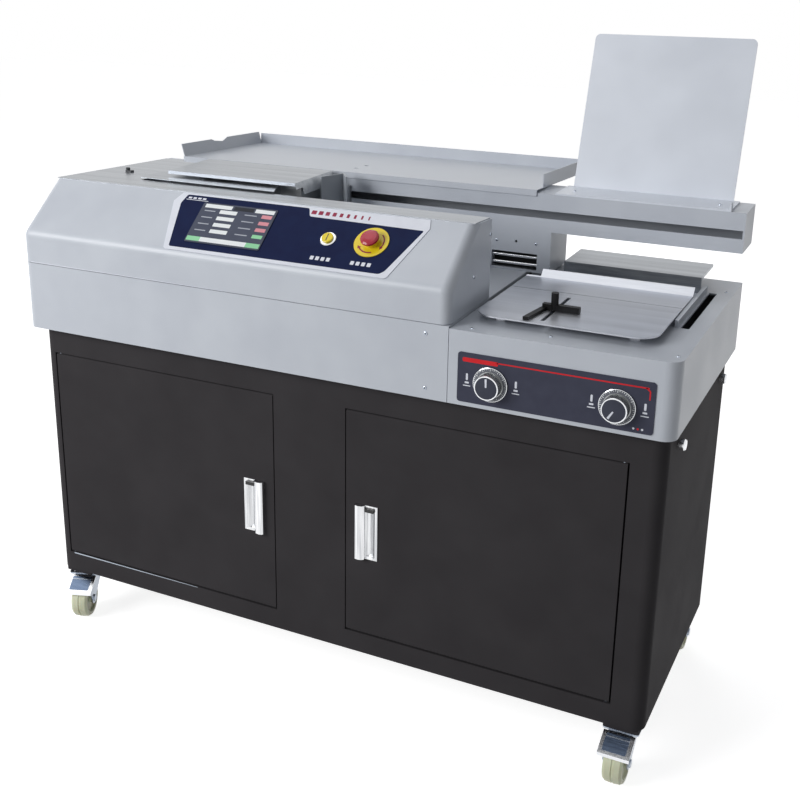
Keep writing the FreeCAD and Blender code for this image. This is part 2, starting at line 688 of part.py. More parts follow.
# Casters: local frame at the swivel axis under the pad, trailing towards local -Y
CASTERS = [
    ("front_left", "left_edge + caster_inset", "front_face + caster_setback", 20),
    ("front_right", "cabinet_right - caster_inset", "front_face + caster_setback", 0),
    ("rear_left", "left_edge + caster_inset", "cabinet_back - caster_setback", 180),
    ("rear_right", "cabinet_right - caster_inset", "cabinet_back - caster_setback", 180),
]
for label, across, back_place, heading in CASTERS:
    place = (across, back_place, "base_level - pad_thickness")
    turn = FreeCAD.Rotation(Z_AXIS, heading)

    plate = new_body(label + "_caster_plate", place, turn)
    half = "plate_side / 2"
    plate_plan = rectangle("0 - plate_side / 2", "0 - plate_side / 2", half, half)
    plate_pad = padded(plate, "top_plate", "XY", plate_plan, "0 - plate_wall", "0")
    rounded(plate, "plate_corners", plate_pad, "plate_corner", lambda edge: along(edge, Z_AXIS))
    spots = [("plate_hole_spacing / 2 * %d" % a, "plate_hole_spacing / 2 * %d" % b, "plate_hole_radius")
             for a, b in ((-1, -1), (1, -1), (1, 1), (-1, 1))]
    drilled(plate, "bolt_holes", "XY", spots, "0 - plate_wall - cut_overrun", "cut_overrun")
    turned(plate, "race", "XZ", "V", [
        ("0", "0 - plate_wall"), ("race_radius", "0 - plate_wall"),
        ("race_radius", "0 - plate_wall - race_height / 2"),
        ("race_radius * 0.86", "0 - plate_wall - race_height"),
        ("kingpin_radius", "0 - plate_wall - race_height"),
        ("kingpin_radius", "0 - fork_top - fork_wall - kingpin_end"),
        ("0", "0 - fork_top - fork_wall - kingpin_end")])

    fork = new_body(label + "_caster_fork", place, turn)
    side_plan = [
        ("fork_back", "0 - fork_top"), ("0 - fork_front", "0 - fork_top"),
        ("0 - fork_shoulder", "0 - fork_shoulder_drop"),
        ("0 - trail - fork_end_radius", "0 - axle_drop"),
        ("0 - trail + fork_end_radius", "0 - axle_drop"),
        ("fork_back", "0 - fork_back_drop")]
    side_plan.reverse()
    padded(fork, "cheeks", "YZ", side_plan, "0 - fork_half", "fork_half")
    rod(fork, "cheek_ends", "x", "fork_end_radius", "fork_half * 2",
        ("0 - fork_half", "0 - trail", "0 - axle_drop"))
    box(fork, "wheel_room",
        ("wheel_width + fork_gap * 2", "fork_back + trail + wheel_radius * 2", "caster_height"),
        ("0 - wheel_width / 2 - fork_gap", "0 - trail - wheel_radius * 2",
         "0 - fork_top - fork_wall - caster_height"), "Subtractive")
    box(fork, "ear_room", ("wheel_width + fork_gap * 2", "trail + wheel_radius", "caster_height"),
        ("0 - wheel_width / 2 - fork_gap", "0 - trail - wheel_radius - pedal_start + clear_gap * 2",
         "0 - caster_height"), "Subtractive")
    rod(fork, "kingpin_bore", "z", "kingpin_radius + running_gap", "fork_wall * 3",
        ("0", "0", "0 - fork_top - fork_wall * 2"), "Subtractive")
    rod(fork, "axle", "x", "axle_radius", "fork_half * 2 + axle_nut_thickness",
        ("0 - fork_half - axle_nut_thickness / 2", "0 - trail", "0 - axle_drop"))
    for end, spot in (("left", "0 - fork_half - axle_nut_thickness"), ("right", "fork_half")):
        rod(fork, end + "_axle_nut", "x", "axle_nut_radius", "axle_nut_thickness",
            (spot, "0 - trail", "0 - axle_drop"))
    rod(fork, "pedal_pivot", "x", "pivot_radius", "fork_half * 2",
        ("0 - fork_half", "0 - pivot_setback", "0 - pivot_drop"))

    wheel = new_body(label + "_caster_wheel", place, turn)
    rim = "wheel_width / 2"
    tread = [
        ("0 - %s - fork_gap + clear_gap" % rim, "axle_radius + running_gap"),
        (rim + " + fork_gap - clear_gap", "axle_radius + running_gap"),
        (rim + " + fork_gap - clear_gap", "axle_radius * 2.2"),
        (rim + " * 0.75", "axle_radius * 2.5"), (rim + " * 0.75", "wheel_radius * 0.7"),
        (rim, "wheel_radius * 0.75"), (rim, "wheel_radius * 0.9"),
        (rim + " * 0.75", "wheel_radius * 0.98"), (rim + " * 0.12", "wheel_radius"),
        (rim + " * 0.07", "wheel_radius * 0.965"), ("0 - %s * 0.07" % rim, "wheel_radius * 0.965"),
        ("0 - %s * 0.12" % rim, "wheel_radius"), ("0 - %s * 0.75" % rim, "wheel_radius * 0.98"),
        ("0 - " + rim, "wheel_radius * 0.9"), ("0 - " + rim, "wheel_radius * 0.75"),
        ("0 - %s * 0.75" % rim, "wheel_radius * 0.7"), ("0 - %s * 0.75" % rim, "axle_radius * 2.5"),
        ("0 - %s - fork_gap + clear_gap" % rim, "axle_radius * 2.2")]
    turned(wheel, "tyre", "XY", "H", tread, ("0", "0 - trail", "0 - axle_drop"))

    pedal = new_body(label + "_caster_pedal", place, turn)
    strip = [
        ("0 - pedal_start", "0 - plate_wall - clear_gap * 2"),
        ("0 - pedal_reach", "0 - plate_wall - clear_gap * 2 - pedal_fall"),
        ("0 - pedal_reach", "0 - plate_wall - clear_gap * 2 - pedal_fall - pedal_lip"),
        ("0 - pedal_reach + pedal_wall", "0 - plate_wall - clear_gap * 2 - pedal_fall - pedal_lip"),
        ("0 - pedal_reach + pedal_wall", "0 - plate_wall - clear_gap * 2 - pedal_fall - pedal_wall * 0.6"),
        ("0 - pedal_start", "0 - plate_wall - clear_gap * 2 - pedal_wall")]
    padded(pedal, "tread_plate", "YZ", strip, "0 - pedal_width / 2", "pedal_width / 2")
    ear_plan = [
        ("0 - pivot_setback - ear_radius", "0 - plate_wall - clear_gap * 2 - pedal_wall * 2"),
        ("0 - pivot_setback - ear_radius", "0 - pivot_drop"),
        ("0 - pivot_setback", "0 - pivot_drop - ear_radius * 0.9"),
        ("0 - pedal_start", "0 - pivot_drop"),
        ("0 - pedal_start", "0 - plate_wall - clear_gap * 2 - pedal_wall / 2")]
    for end, low in (("left", "0 - wheel_width / 2 - fork_gap + clear_gap"),
                     ("right", "wheel_width / 2 + fork_gap - clear_gap - ear_wall")):
        padded(pedal, end + "_ear", "YZ", ear_plan, low, low + " + ear_wall")
    rod(pedal, "pivot_bore", "x", "pivot_radius + running_gap", "fork_half * 2",
        ("0 - fork_half", "0 - pivot_setback", "0 - pivot_drop"), "Subtractive")

# Painted base: shell under the hood with the channel floor as its top sheet
base = new_body("base_skirt")
base_plan = rectangle("skirt_left", "skirt_front", "hood_right - seam_gap / 2", "skirt_back")
padded(base, "case", "XY", base_plan, "cabinet_top", "seam_level - seam_gap")
floor_under = "seam_level - seam_gap - cabinet_wall"
base_room = rectangle("skirt_left + cabinet_wall", "skirt_front + cabinet_wall",
                      "hood_right - seam_gap / 2 - cabinet_wall", "skirt_back - cabinet_wall")
base_cut = pocketed(base, "room", "XY", base_room, "cabinet_top + cabinet_wall", floor_under)
base_inner = rounded(base, "room_corners", base_cut, "hood_corner - cabinet_wall",
                     lambda edge: along(edge, Z_AXIS)
                     and near(edge, x=size("skirt_left") + size("cabinet_wall")))
rounded(base, "case_corners", base_inner, "hood_corner",
        lambda edge: along(edge, Z_AXIS) and near(edge, x=size("skirt_left")))
base_mouth = rectangle("skirt_left + base_flange", "skirt_front + base_flange",
                       "hood_right - base_flange", "skirt_back - base_flange")
pocketed(base, "mouth", "XY", base_mouth,
         "cabinet_top - cut_overrun", "cabinet_top + cabinet_wall + cut_overrun")
drilled(base, "shaft_hole", "XY",
        [("left_edge + cutter_reach", "front_face + cutter_setback", "shaft_hole_radius")],
        floor_under + " - cut_overrun", "seam_level + cut_overrun")
tank_hole = rectangle("left_edge + tank_reach - clear_gap", "front_face + tank_front - clear_gap",
                      "left_edge + tank_reach + tank_length + clear_gap",
                      "front_face + tank_front + tank_depth + clear_gap")
pocketed(base, "tank_hole", "XY", tank_hole, floor_under + " - cut_overrun", "seam_level + cut_overrun")

# Hood: bent sheet over the clamp's drive, with a taller block at the left end
hood = new_body("hood_cover")
channel_face = "front_face + channel_front"
hood_plan = [
    ("skirt_front", "seam_level"), (channel_face, "seam_level"),
    (channel_face, "brow_level - (channel_front + skirt_overhang - slope_run) * fall_share"),
    ("brow_front", "brow_level"), ("skirt_front", "crease_level")]
padded(hood, "front_case", "YZ", hood_plan, "skirt_left", "hood_right")
left_plan = [
    (channel_face + " - cover_wall", "seam_level"), ("skirt_back", "seam_level"),
    ("skirt_back", "brow_level - (skirt_back - brow_front) * fall_share"),
    (channel_face + " - cover_wall",
     "brow_level - (channel_front - cover_wall + skirt_overhang - slope_run) * fall_share")]
padded(hood, "left_case", "YZ", left_plan, "skirt_left", "left_edge + left_block_reach")
lower_in = "cover_wall * slope_sine / slope_cosine - cover_wall / slope_cosine"
bisector = "(1 + slope_cosine * cos(deck_fall) - slope_sine * sin(deck_fall))"
inner_plan = [
    ("skirt_front + cover_wall", "seam_level - cut_overrun"),
    (channel_face + " - cover_wall", "seam_level - cut_overrun"),
    (channel_face + " - cover_wall",
     "brow_level - cover_wall - (channel_front - cover_wall + skirt_overhang - slope_run) * fall_share"),
    ("brow_front + cover_wall * (slope_sine - sin(deck_fall)) / " + bisector,
     "brow_level - cover_wall * (slope_cosine + cos(deck_fall)) / " + bisector),
    ("skirt_front + cover_wall", "crease_level + " + lower_in)]
hood_room = pocketed(hood, "front_room", "YZ", inner_plan,
                     "skirt_left + cover_wall", "hood_right - cover_wall")
inner_front = size("skirt_front") + size("cover_wall")
inner_drop = size("cover_wall") * (1 - size("slope_sine")) / size("slope_cosine")
inner_crease_level = size("crease_level") - inner_drop
inner_crease = rounded(hood, "inner_crease", hood_room, "crease_round - cover_wall",
                       lambda edge: along(edge, X_AXIS) and near(edge, y=inner_front, z=inner_crease_level))
inner_corners = rounded(hood, "inner_corners", inner_crease, "hood_corner - cover_wall",
                        lambda edge: along(edge, Z_AXIS) and near(edge, y=inner_front))
crease = rounded(
    hood, "crease", inner_corners, "crease_round",
    lambda edge: along(edge, X_AXIS) and near(edge, y=size("skirt_front"), z=size("crease_level")))
rounded(hood, "front_corners", crease, "hood_corner",
        lambda edge: along(edge, Z_AXIS) and near(edge, y=size("skirt_front")))
left_inner = [
    (channel_face + " - cover_wall * 2", "seam_level - cut_overrun"),
    ("skirt_back - cover_wall", "seam_level - cut_overrun"),
    ("skirt_back - cover_wall",
     "brow_level - cover_wall - (skirt_back - cover_wall - brow_front) * fall_share"),
    (channel_face + " - cover_wall * 2",
     "brow_level - cover_wall - (channel_front - cover_wall * 2 + skirt_overhang - slope_run) * fall_share")]
pocketed(hood, "left_room", "YZ", left_inner,
         "skirt_left + cover_wall", "left_edge + left_block_reach - cover_wall")

# Stainless deck plate lying on the hood's top, sloping back
fall_turn = FreeCAD.Rotation(X_AXIS, -size("deck_fall"))
deck = new_body("deck_plate", ("0", "brow_front", "brow_level"), fall_turn)
deck_run = "(channel_front + skirt_overhang - slope_run) / cos(deck_fall)"
deck_plan = [
    ("skirt_left + deck_margin", "deck_margin"), ("hood_right - deck_margin", "deck_margin"),
    ("hood_right - deck_margin", deck_run), ("left_edge + left_block_reach", deck_run),
    ("left_edge + left_block_reach", "(deck_back + skirt_overhang - slope_run) / cos(deck_fall)"),
    ("skirt_left + deck_margin", "(deck_back + skirt_overhang - slope_run) / cos(deck_fall)")]
padded(deck, "sheet", "XY", deck_plan, "0", "deck_wall")

# Control panel, screen and buttons, all in the slope's own frame
slope_turn = FreeCAD.Rotation(X_AXIS, math.degrees(math.atan2(size("slope_rise"), size("slope_run"))))
slope_place = ("left_edge", "skirt_front", "crease_level")
panel = new_body("control_panel", slope_place, slope_turn)
panel_outline_shares = [(0.063, 0), (0.923, 0), (1, 0.857), (0.99, 1), (0.022, 1), (0, 0.84)]
panel_plan = [("panel_left + panel_length * %g" % a, "panel_foot + panel_height * %g" % b)
              for a, b in panel_outline_shares]
panel_pad = padded(panel, "sheet", "XY", panel_plan, "0", "panel_wall")
rounded(panel, "corners", panel_pad, "panel_corner",
        lambda edge: along(edge, Z_AXIS) and edge.CenterOfMass.y < size("panel_foot") + size("panel_wall"))

screen = new_body("touch_screen", slope_place, slope_turn)
screen_plan = rectangle("screen_reach", "screen_foot",
                        "screen_reach + screen_length", "screen_foot + screen_height")
screen_pad = padded(screen, "glass", "XY", screen_plan, "panel_wall", "panel_wall + screen_wall")
rounded(screen, "corners", screen_pad, "screen_corner", lambda edge: along(edge, Z_AXIS))

bezel = new_body("start_bezel", slope_place, slope_turn)
turned(bezel, "ring", "XZ", "V", [
    ("start_radius + clear_gap", "0"), ("bezel_radius", "0"), ("bezel_radius", "bezel_wall * 0.5"),
    ("bezel_radius * 0.9", "bezel_wall"), ("start_radius + clear_gap", "bezel_wall")],
    ("start_reach", "panel_wall", "0 - start_height"))
start = new_body("start_button", slope_place, slope_turn)
turned(start, "cap", "XZ", "V", [
    ("0", "start_travel + clear_gap"), ("start_radius", "start_travel + clear_gap"),
    ("start_radius", "start_stand + start_travel - clear_gap"),
    ("start_radius * 0.9", "start_stand + start_travel"), ("0", "start_stand + start_travel")],
    ("start_reach", "panel_wall", "0 - start_height"))

stop_plate = new_body("stop_plate", slope_place, slope_turn)
turned(stop_plate, "disc", "XZ", "V", [
    ("0", "0"), ("stop_plate_radius", "0"), ("stop_plate_radius", "stop_plate_wall"),
    ("stop_stem_radius + running_gap + bezel_wall", "stop_plate_wall"),
    ("stop_stem_radius + running_gap + bezel_wall", "stop_plate_wall + stop_travel + stop_collar"),
    ("stop_stem_radius + running_gap", "stop_plate_wall + stop_travel + stop_collar"),
    ("stop_stem_radius + running_gap", "stop_plate_wall"), ("0", "stop_plate_wall")],
    ("stop_reach", "panel_wall", "0 - stop_height"))
stop = new_body("stop_button", slope_place, slope_turn)
turned(stop, "mushroom", "XZ", "V", [
    ("0", "stop_plate_wall + stop_travel + clear_gap"),
    ("stop_stem_radius", "stop_plate_wall + stop_travel + clear_gap"),
    ("stop_stem_radius", "stop_stand"), ("stop_head_radius * 0.85", "stop_stand"),
    ("stop_head_radius", "stop_stand + stop_head_height * 0.25"),
    ("stop_head_radius * 0.97", "stop_stand + stop_head_height * 0.6"),
    ("stop_head_radius * 0.8", "stop_stand + stop_head_height * 0.87"),
    ("stop_head_radius * 0.45", "stop_stand + stop_head_height"), ("0", "stop_stand + stop_head_height")],
    ("stop_reach", "panel_wall", "0 - stop_height"))

# Beam: C-section with the carriage slot in its front, on two posts
beam = new_body("beam")
beam_section = [
    ("beam_front", "beam_foot"), ("beam_back", "beam_foot"), ("beam_back", "beam_top"),
    ("beam_front", "beam_top"), ("beam_front", "base_level + slot_level + slot_height"),
    ("beam_front + beam_wall", "base_level + slot_level + slot_height"),
    ("beam_front + beam_wall", "beam_top - beam_wall"), ("beam_back - beam_wall", "beam_top - beam_wall"),
    ("beam_back - beam_wall", "beam_foot + beam_wall"), ("beam_front + beam_wall", "beam_foot + beam_wall"),
    ("beam_front + beam_wall", "base_level + slot_level"), ("beam_front", "base_level + slot_level")]
padded(beam, "channel", "YZ", beam_section, "left_edge + beam_start", "beam_right - beam_wall")
end_cap = rectangle("beam_front", "beam_foot", "beam_back", "beam_top")
padded(beam, "right_end", "YZ", end_cap, "beam_right - beam_wall", "beam_right")

left_post = new_body("beam_post_left")
left_post_plan = rectangle("left_edge + left_post_reach", "beam_front",
                           "left_edge + left_post_reach + left_post_length", "beam_back")
post_foot = "seam_level - seam_gap"
padded(left_post, "tube", "XY", left_post_plan, post_foot, "beam_foot")
left_bore = rectangle("left_edge + left_post_reach + post_wall", "beam_front + post_wall",
                      "left_edge + left_post_reach + left_post_length - post_wall", "beam_back - post_wall")
pocketed(left_post, "bore", "XY", left_bore, post_foot + " - cut_overrun", "beam_foot - post_wall")

right_post = new_body("beam_post_right")
right_post_back = "beam_front + right_post_depth"
right_post_plan = rectangle("left_edge + right_post_reach", "beam_front",
                            "left_edge + right_post_reach + right_post_length", right_post_back)
padded(right_post, "tube", "XY", right_post_plan, post_foot, "beam_foot")
right_bore = rectangle("left_edge + right_post_reach + post_wall", "beam_front + post_wall",
                       "left_edge + right_post_reach + right_post_length - post_wall",
                       right_post_back + " - post_wall")
pocketed(right_post, "bore", "XY", right_bore, post_foot + " - cut_overrun", "beam_foot - post_wall")
window_left = "left_edge + right_post_reach + post_window_inset"
window_plan = rectangle(window_left, "seam_level + post_window_sill",
                        window_left + " + post_window_length",
                        "seam_level + post_window_sill + post_window_height")
pocketed(right_post, "window", "XZ", window_plan, "beam_front - cut_overrun",
         "beam_front + post_wall + cut_overrun")
drilled(right_post, "front_hole", "XZ",
        [("left_edge + right_post_reach + right_post_length * 0.45",
          "seam_level + (beam_foot - seam_level) * 0.7", "post_hole_radius")],
        "beam_front - cut_overrun", "beam_front + post_wall + cut_overrun")

rail = new_body("carriage_rail")
rail_level = "base_level + slot_level + slot_height / 2 - rail_side / 2"
box(rail, "bar",
    ("beam_right - beam_wall - left_edge - beam_start - rail_margin * 2", "rail_side", "rail_side"),
    ("left_edge + beam_start + rail_margin", "beam_back - beam_wall - rail_side", rail_level))

# Paper tray: bent sheet on the beam, in its own frame that falls to the rear
tray_place = ("left_edge + tray_reach", "front_face + tray_setback", "base_level + tray_level")
tray = new_body("paper_tray", tray_place, fall_turn)
tray_section = [
    ("0", "0 - tray_flange"), ("tray_wall", "0 - tray_flange"), ("tray_wall", "0 - tray_wall"),
    ("tray_depth", "0 - tray_wall"), ("tray_depth", "tray_lip"), ("tray_depth - tray_wall", "tray_lip"),
    ("tray_depth - tray_wall", "0"), ("0", "0")]
padded(tray, "sheet", "YZ", tray_section, "0", "tray_length")
left_flap = [
    ("0", "0 - tray_wall"), ("tray_wall", "0 - tray_wall"),
    ("tray_wall - tray_flap_lean", "tray_flap"), ("0 - tray_flap_lean", "tray_flap")]
padded(tray, "left_flap", "XZ", left_flap, "tray_depth * 0.01", "tray_depth")
dip_plan = [
    ("tray_depth * 0.36", "tray_flap + cut_overrun"), ("tray_depth * 0.4", "tray_flap - tray_dip * 0.5"),
    ("tray_depth * 0.5", "tray_flap - tray_dip"), ("tray_depth * 0.56", "tray_flap - tray_dip * 0.2"),
    ("tray_depth * 0.58", "tray_flap + cut_overrun")]
pocketed(tray, "flap_dip", "YZ", dip_plan, "0 - tray_flap_lean * 2", "tray_wall * 2")
right_flap = rectangle("tray_length - tray_wall", "0 - tray_wall", "tray_length", "tray_flap")
padded(tray, "right_flap", "XZ", right_flap, "right_flap_start", "tray_depth")
tray_holes = [("tray_hole_reach", "tray_hole_setback + tray_hole_pitch * %d" % i, "tray_hole_radius")
              for i in (0, 1)]
drilled(tray, "finger_holes", "XY", tray_holes, "0 - tray_wall * 2", "tray_wall")
rib_front = "(beam_setback + beam_depth - tray_setback) / cos(deck_fall) + clear_gap * 3"
rib_plan = [
    (rib_front, "0 - tray_wall"), (rib_front + " + rib_drop * fall_share", "0 - rib_drop"),
    (rib_front + " + rib_wall * 4", "0 - rib_drop"), (rib_front + " + rib_reach", "0 - tray_wall * 4"),
    (rib_front + " + rib_reach", "0 - tray_wall")]
for end, low in (("left", "rib_inset"), ("right", "tray_length - rib_inset - rib_wall")):
    padded(tray, end + "_rib", "YZ", rib_plan, low, low + " + rib_wall")

# Book rest: bent plate on the beam's top, leaning back
rest = new_body("book_rest")
lean_x = "rest_height * sin(rest_lean)"
lean_z = "rest_height * cos(rest_lean)"
rest_back = "beam_front + rest_foot_depth"
rest_section = [
    ("beam_front", "beam_top"), (rest_back, "beam_top"),
    (rest_back + " + " + lean_x, "beam_top + " + lean_z),
    (rest_back + " + " + lean_x + " - rest_wall * cos(rest_lean)",
     "beam_top + " + lean_z + " + rest_wall * sin(rest_lean)"),
    (rest_back + " - rest_wall * 0.7", "beam_top + rest_wall"), ("beam_front", "beam_top + rest_wall")]
padded(rest, "sheet", "YZ", rest_section, "left_edge + rest_foot_reach",
       "left_edge + rest_foot_reach + rest_foot_length")
for end, low in (("left", "left_edge + rest_foot_reach - cut_overrun"),
                 ("right", "left_edge + rest_foot_reach + rest_foot_length - rest_margin")):
    box(rest, end + "_step",
        ("rest_margin + cut_overrun", "rest_foot_depth + rest_height", "rest_height + cut_overrun"),
        (low, "beam_front", "beam_top + rest_wall"), "Subtractive")
rounded(rest, "top_corners", rest.Tip, "rest_corner",
        lambda edge: edge.CenterOfMass.z > size("beam_top") + size("rest_height") * 0.9
        and len(edge.Vertexes) == 2 and edge.Length < size("rest_wall") * 1.5)
ear_section = [
    ("left_edge + rest_foot_reach + rest_foot_length - rest_wall", "beam_top"),
    ("left_edge + rest_foot_reach + rest_foot_length", "beam_top"),
    ("left_edge + rest_foot_reach + rest_foot_length", "beam_top + rest_ear"),
    ("left_edge + rest_foot_reach + rest_foot_length - rest_wall", "beam_top + rest_ear")]
padded(rest, "ear", "XZ", ear_section, "beam_front", "beam_front + rest_ear")

# Clamp: carriage on the rail, rear jaw and rods on it, front jaw sliding on the rods
carriage = new_body("clamp_carriage")
middle_x = "left_edge + jaw_start + jaw_length / 2"
neck_low = "base_level + slot_level + slot_height / 2 - neck_height / 2"
arm_back = "beam_front - clear_gap * 2"
arm_front = arm_back + " - arm_wall"
runner_low = "base_level + slot_level + slot_height / 2 - runner_height / 2"
runner_back = "beam_back - beam_wall - clear_gap * 2"
arm_low = "base_level + slot_level + slot_height / 2 - arm_height / 2"
padded(carriage, "arm", "XZ",
       rectangle(middle_x + " - neck_length / 2", arm_low,
                 "left_edge + bracket_reach + bracket_bend_run + bracket_wall", arm_low + " + arm_height"),
       arm_front, arm_back)
box(carriage, "neck", ("neck_length", "(%s) - (%s) - clear_gap" % (runner_back, arm_back), "neck_height"),
    (middle_x + " - neck_length / 2", arm_back, neck_low))
box(carriage, "runner", ("neck_length", "runner_depth", "runner_height"),
    (middle_x + " - neck_length / 2", runner_back + " - runner_depth", runner_low))
box(carriage, "rail_groove",
    ("neck_length + cut_overrun * 2", "rail_side + cut_overrun", "rail_side + clear_gap * 2"),
    (middle_x + " - neck_length / 2 - cut_overrun", "beam_back - beam_wall - rail_side - clear_gap",
     rail_level + " - clear_gap"), "Subtractive")

rear_jaw = new_body("rear_jaw")
jaw_left = "left_edge + jaw_start"
jaw_right = "left_edge + jaw_start + jaw_length"
rear_jaw_back = arm_front
rear_jaw_front = rear_jaw_back + " - rear_jaw_thickness"
rear_section = [
    (rear_jaw_front, "base_level + jaw_foot + rear_jaw_thickness * 0.5"),
    (rear_jaw_front + " + rear_jaw_thickness * 0.4", "base_level + jaw_foot"),
    (rear_jaw_back, "base_level + jaw_foot"), (rear_jaw_back, "base_level + rear_jaw_top"),
    (rear_jaw_front, "base_level + rear_jaw_top")]
padded(rear_jaw, "plate", "YZ", rear_section, jaw_left, jaw_right)
for end, spot in (("left", jaw_left + " + rod_inset"), ("right", jaw_right + " - rod_inset")):
    rod(rear_jaw, end + "_rod", "y", "rod_radius",
        "(%s) - (front_face + rod_front) + clear_gap" % rear_jaw_front,
        (spot, "front_face + rod_front", "base_level + rod_level"))

front_jaw = new_body("front_jaw")
front_jaw_back = rear_jaw_front + " - jaw_front_gap"
front_jaw_front = front_jaw_back + " - front_jaw_thickness"
front_section = [
    (front_jaw_front, "base_level + jaw_foot + front_jaw_thickness * 0.3"),
    (front_jaw_back + " - front_jaw_thickness * 0.2", "base_level + jaw_foot"),
    (front_jaw_back, "base_level + jaw_foot"), (front_jaw_back, "base_level + front_jaw_top"),
    (front_jaw_front, "base_level + front_jaw_top")]
padded(front_jaw, "block", "YZ", front_section, jaw_left, jaw_right)
for end, spot in (("left", jaw_left + " + rod_inset"), ("right", jaw_right + " - rod_inset")):
    rod(front_jaw, end + "_rod_bore", "y",
        "rod_radius + running_gap", "front_jaw_thickness + cut_overrun * 2",
        (spot, front_jaw_front + " - cut_overrun", "base_level + rod_level"), "Subtractive")

# Stainless cover over the front jaw, folded down at its front edge and right end
cover = new_body("clamp_cover")
cover_top = "base_level + cover_level"
cover_left = "left_edge + clamp_cover_reach"
cover_right = "left_edge + clamp_cover_reach + clamp_cover_length"
front_line = "front_face + clamp_cover_front"
cover_section = [
    (front_line, cover_top + " - clamp_cover_fold"),
    (front_line + " + clamp_cover_wall", cover_top + " - clamp_cover_fold"),
    (front_line + " + clamp_cover_wall", cover_top + " - clamp_cover_wall"),
    ("front_face + clamp_cover_back", cover_top + " - clamp_cover_wall"),
    ("front_face + clamp_cover_back", cover_top), (front_line, cover_top)]
padded(cover, "sheet", "YZ", cover_section, cover_left, cover_right)
fold_plan = [
    (cover_right, cover_top + " - clamp_cover_wall"),
    (cover_right + " + clamp_cover_slope_out - clamp_cover_wall", cover_top + " - clamp_cover_drop"),
    (cover_right + " + clamp_cover_slope_out", cover_top + " - clamp_cover_drop"),
    (cover_right, cover_top)]
padded(cover, "right_fold", "XZ", fold_plan, front_line, "front_face + clamp_cover_back")
box(cover, "fold_relief",
    ("clamp_cover_slope_out + cut_overrun", "cover_relief_length + cut_overrun", "clamp_cover_drop"),
    (cover_right, front_line + " - cut_overrun", cover_top + " - cover_relief_level - clamp_cover_drop"),
    "Subtractive")
stand_front = front_jaw_front + " + clamp_cover_wall"
for end, low in (("left", cover_left + " + rod_inset"),
                 ("right", cover_right + " - rod_inset - spacer_length")):
    box(cover, end + "_spacer", ("spacer_length", "front_jaw_thickness - clamp_cover_wall * 4",
                                 "cover_level - clamp_cover_wall - front_jaw_top"),
        (low, stand_front, "base_level + front_jaw_top"))

# End bracket of the clamp: sheet bent to a V in plan, tied to the carriage's arm by a web
bracket = new_body("clamp_end_bracket")
bracket_left = "left_edge + bracket_reach"
bracket_rear = "front_face + bracket_back"
bracket_plan = [
    (bracket_left, "front_face + bracket_front"), (bracket_left + " + bracket_bend_run", bracket_rear),
    (bracket_left + " + bracket_length", bracket_rear + " - bracket_return"),
    (bracket_left + " + bracket_length + bracket_wall * 0.8",
     bracket_rear + " - bracket_return + bracket_wall * 0.6"),
    (bracket_left + " + bracket_bend_run", bracket_rear + " + bracket_wall * 1.6"),
    (bracket_left + " - bracket_wall * 0.92", "front_face + bracket_front + bracket_wall * 0.38")]
padded(bracket, "wings", "XY", bracket_plan,
       "base_level + bracket_level", "base_level + bracket_level + bracket_height")
box(bracket, "web", ("bracket_wall", "(%s) - (%s) - bracket_wall" % (arm_front, bracket_rear), "arm_height"),
    (bracket_left + " + bracket_bend_run - bracket_wall / 2", bracket_rear + " + bracket_wall", arm_low))

# Cutter: toothed disc on a vertical motor under the channel floor
cutter_place = ("left_edge + cutter_reach", "front_face + cutter_setback", "seam_level")
disc = new_body("cutter_disc", cutter_place)
disc_turn = turned(disc, "disc", "XZ", "V", [
    ("cutter_shaft_radius + running_gap", "cutter_lift"), ("cutter_radius - cutter_tooth", "cutter_lift"),
    ("cutter_radius", "cutter_lift + cutter_thickness * 0.4"),
    ("cutter_radius", "cutter_lift + cutter_thickness * 0.7"),
    ("cutter_radius * 0.8", "cutter_lift + cutter_thickness"),
    ("cutter_radius * 0.35", "cutter_lift + cutter_thickness * 0.7"),
    ("cutter_shaft_radius + running_gap", "cutter_lift + cutter_thickness * 0.7")])
gullet = box(disc, "gullet", ("cutter_tooth * 2", "cutter_tooth_width", "cutter_thickness * 2"),
             ("cutter_radius - cutter_tooth", "0", "cutter_lift - cut_overrun"), "Subtractive")
gullets = disc.newObject("PartDesign::PolarPattern", "gullets")
gullets.Originals = [gullet]
gullets.Axis = (disc_turn.Profile[0], ["V_Axis"])
gullets.Angle = 360
gullets.Occurrences = 12
disc.Tip = gullets

motor = new_body("cutter_motor", cutter_place)
motor_top = "0 - seam_gap - cabinet_wall"
turned(motor, "motor", "XZ", "V", [
    ("0", motor_top + " - motor_height"), ("motor_radius * 0.9", motor_top + " - motor_height"),
    ("motor_radius", motor_top + " - motor_height * 0.93"),
    ("motor_radius", motor_top + " - motor_drop * 2"),
    ("motor_radius * 0.85", motor_top), ("shaft_hole_radius * 0.9", motor_top),
    ("shaft_hole_radius * 0.9", "cutter_lift - clear_gap"),
    ("cutter_shaft_radius", "cutter_lift - clear_gap"),
    ("cutter_shaft_radius", "cutter_lift + cutter_thickness"), ("0", "cutter_lift + cutter_thickness")])

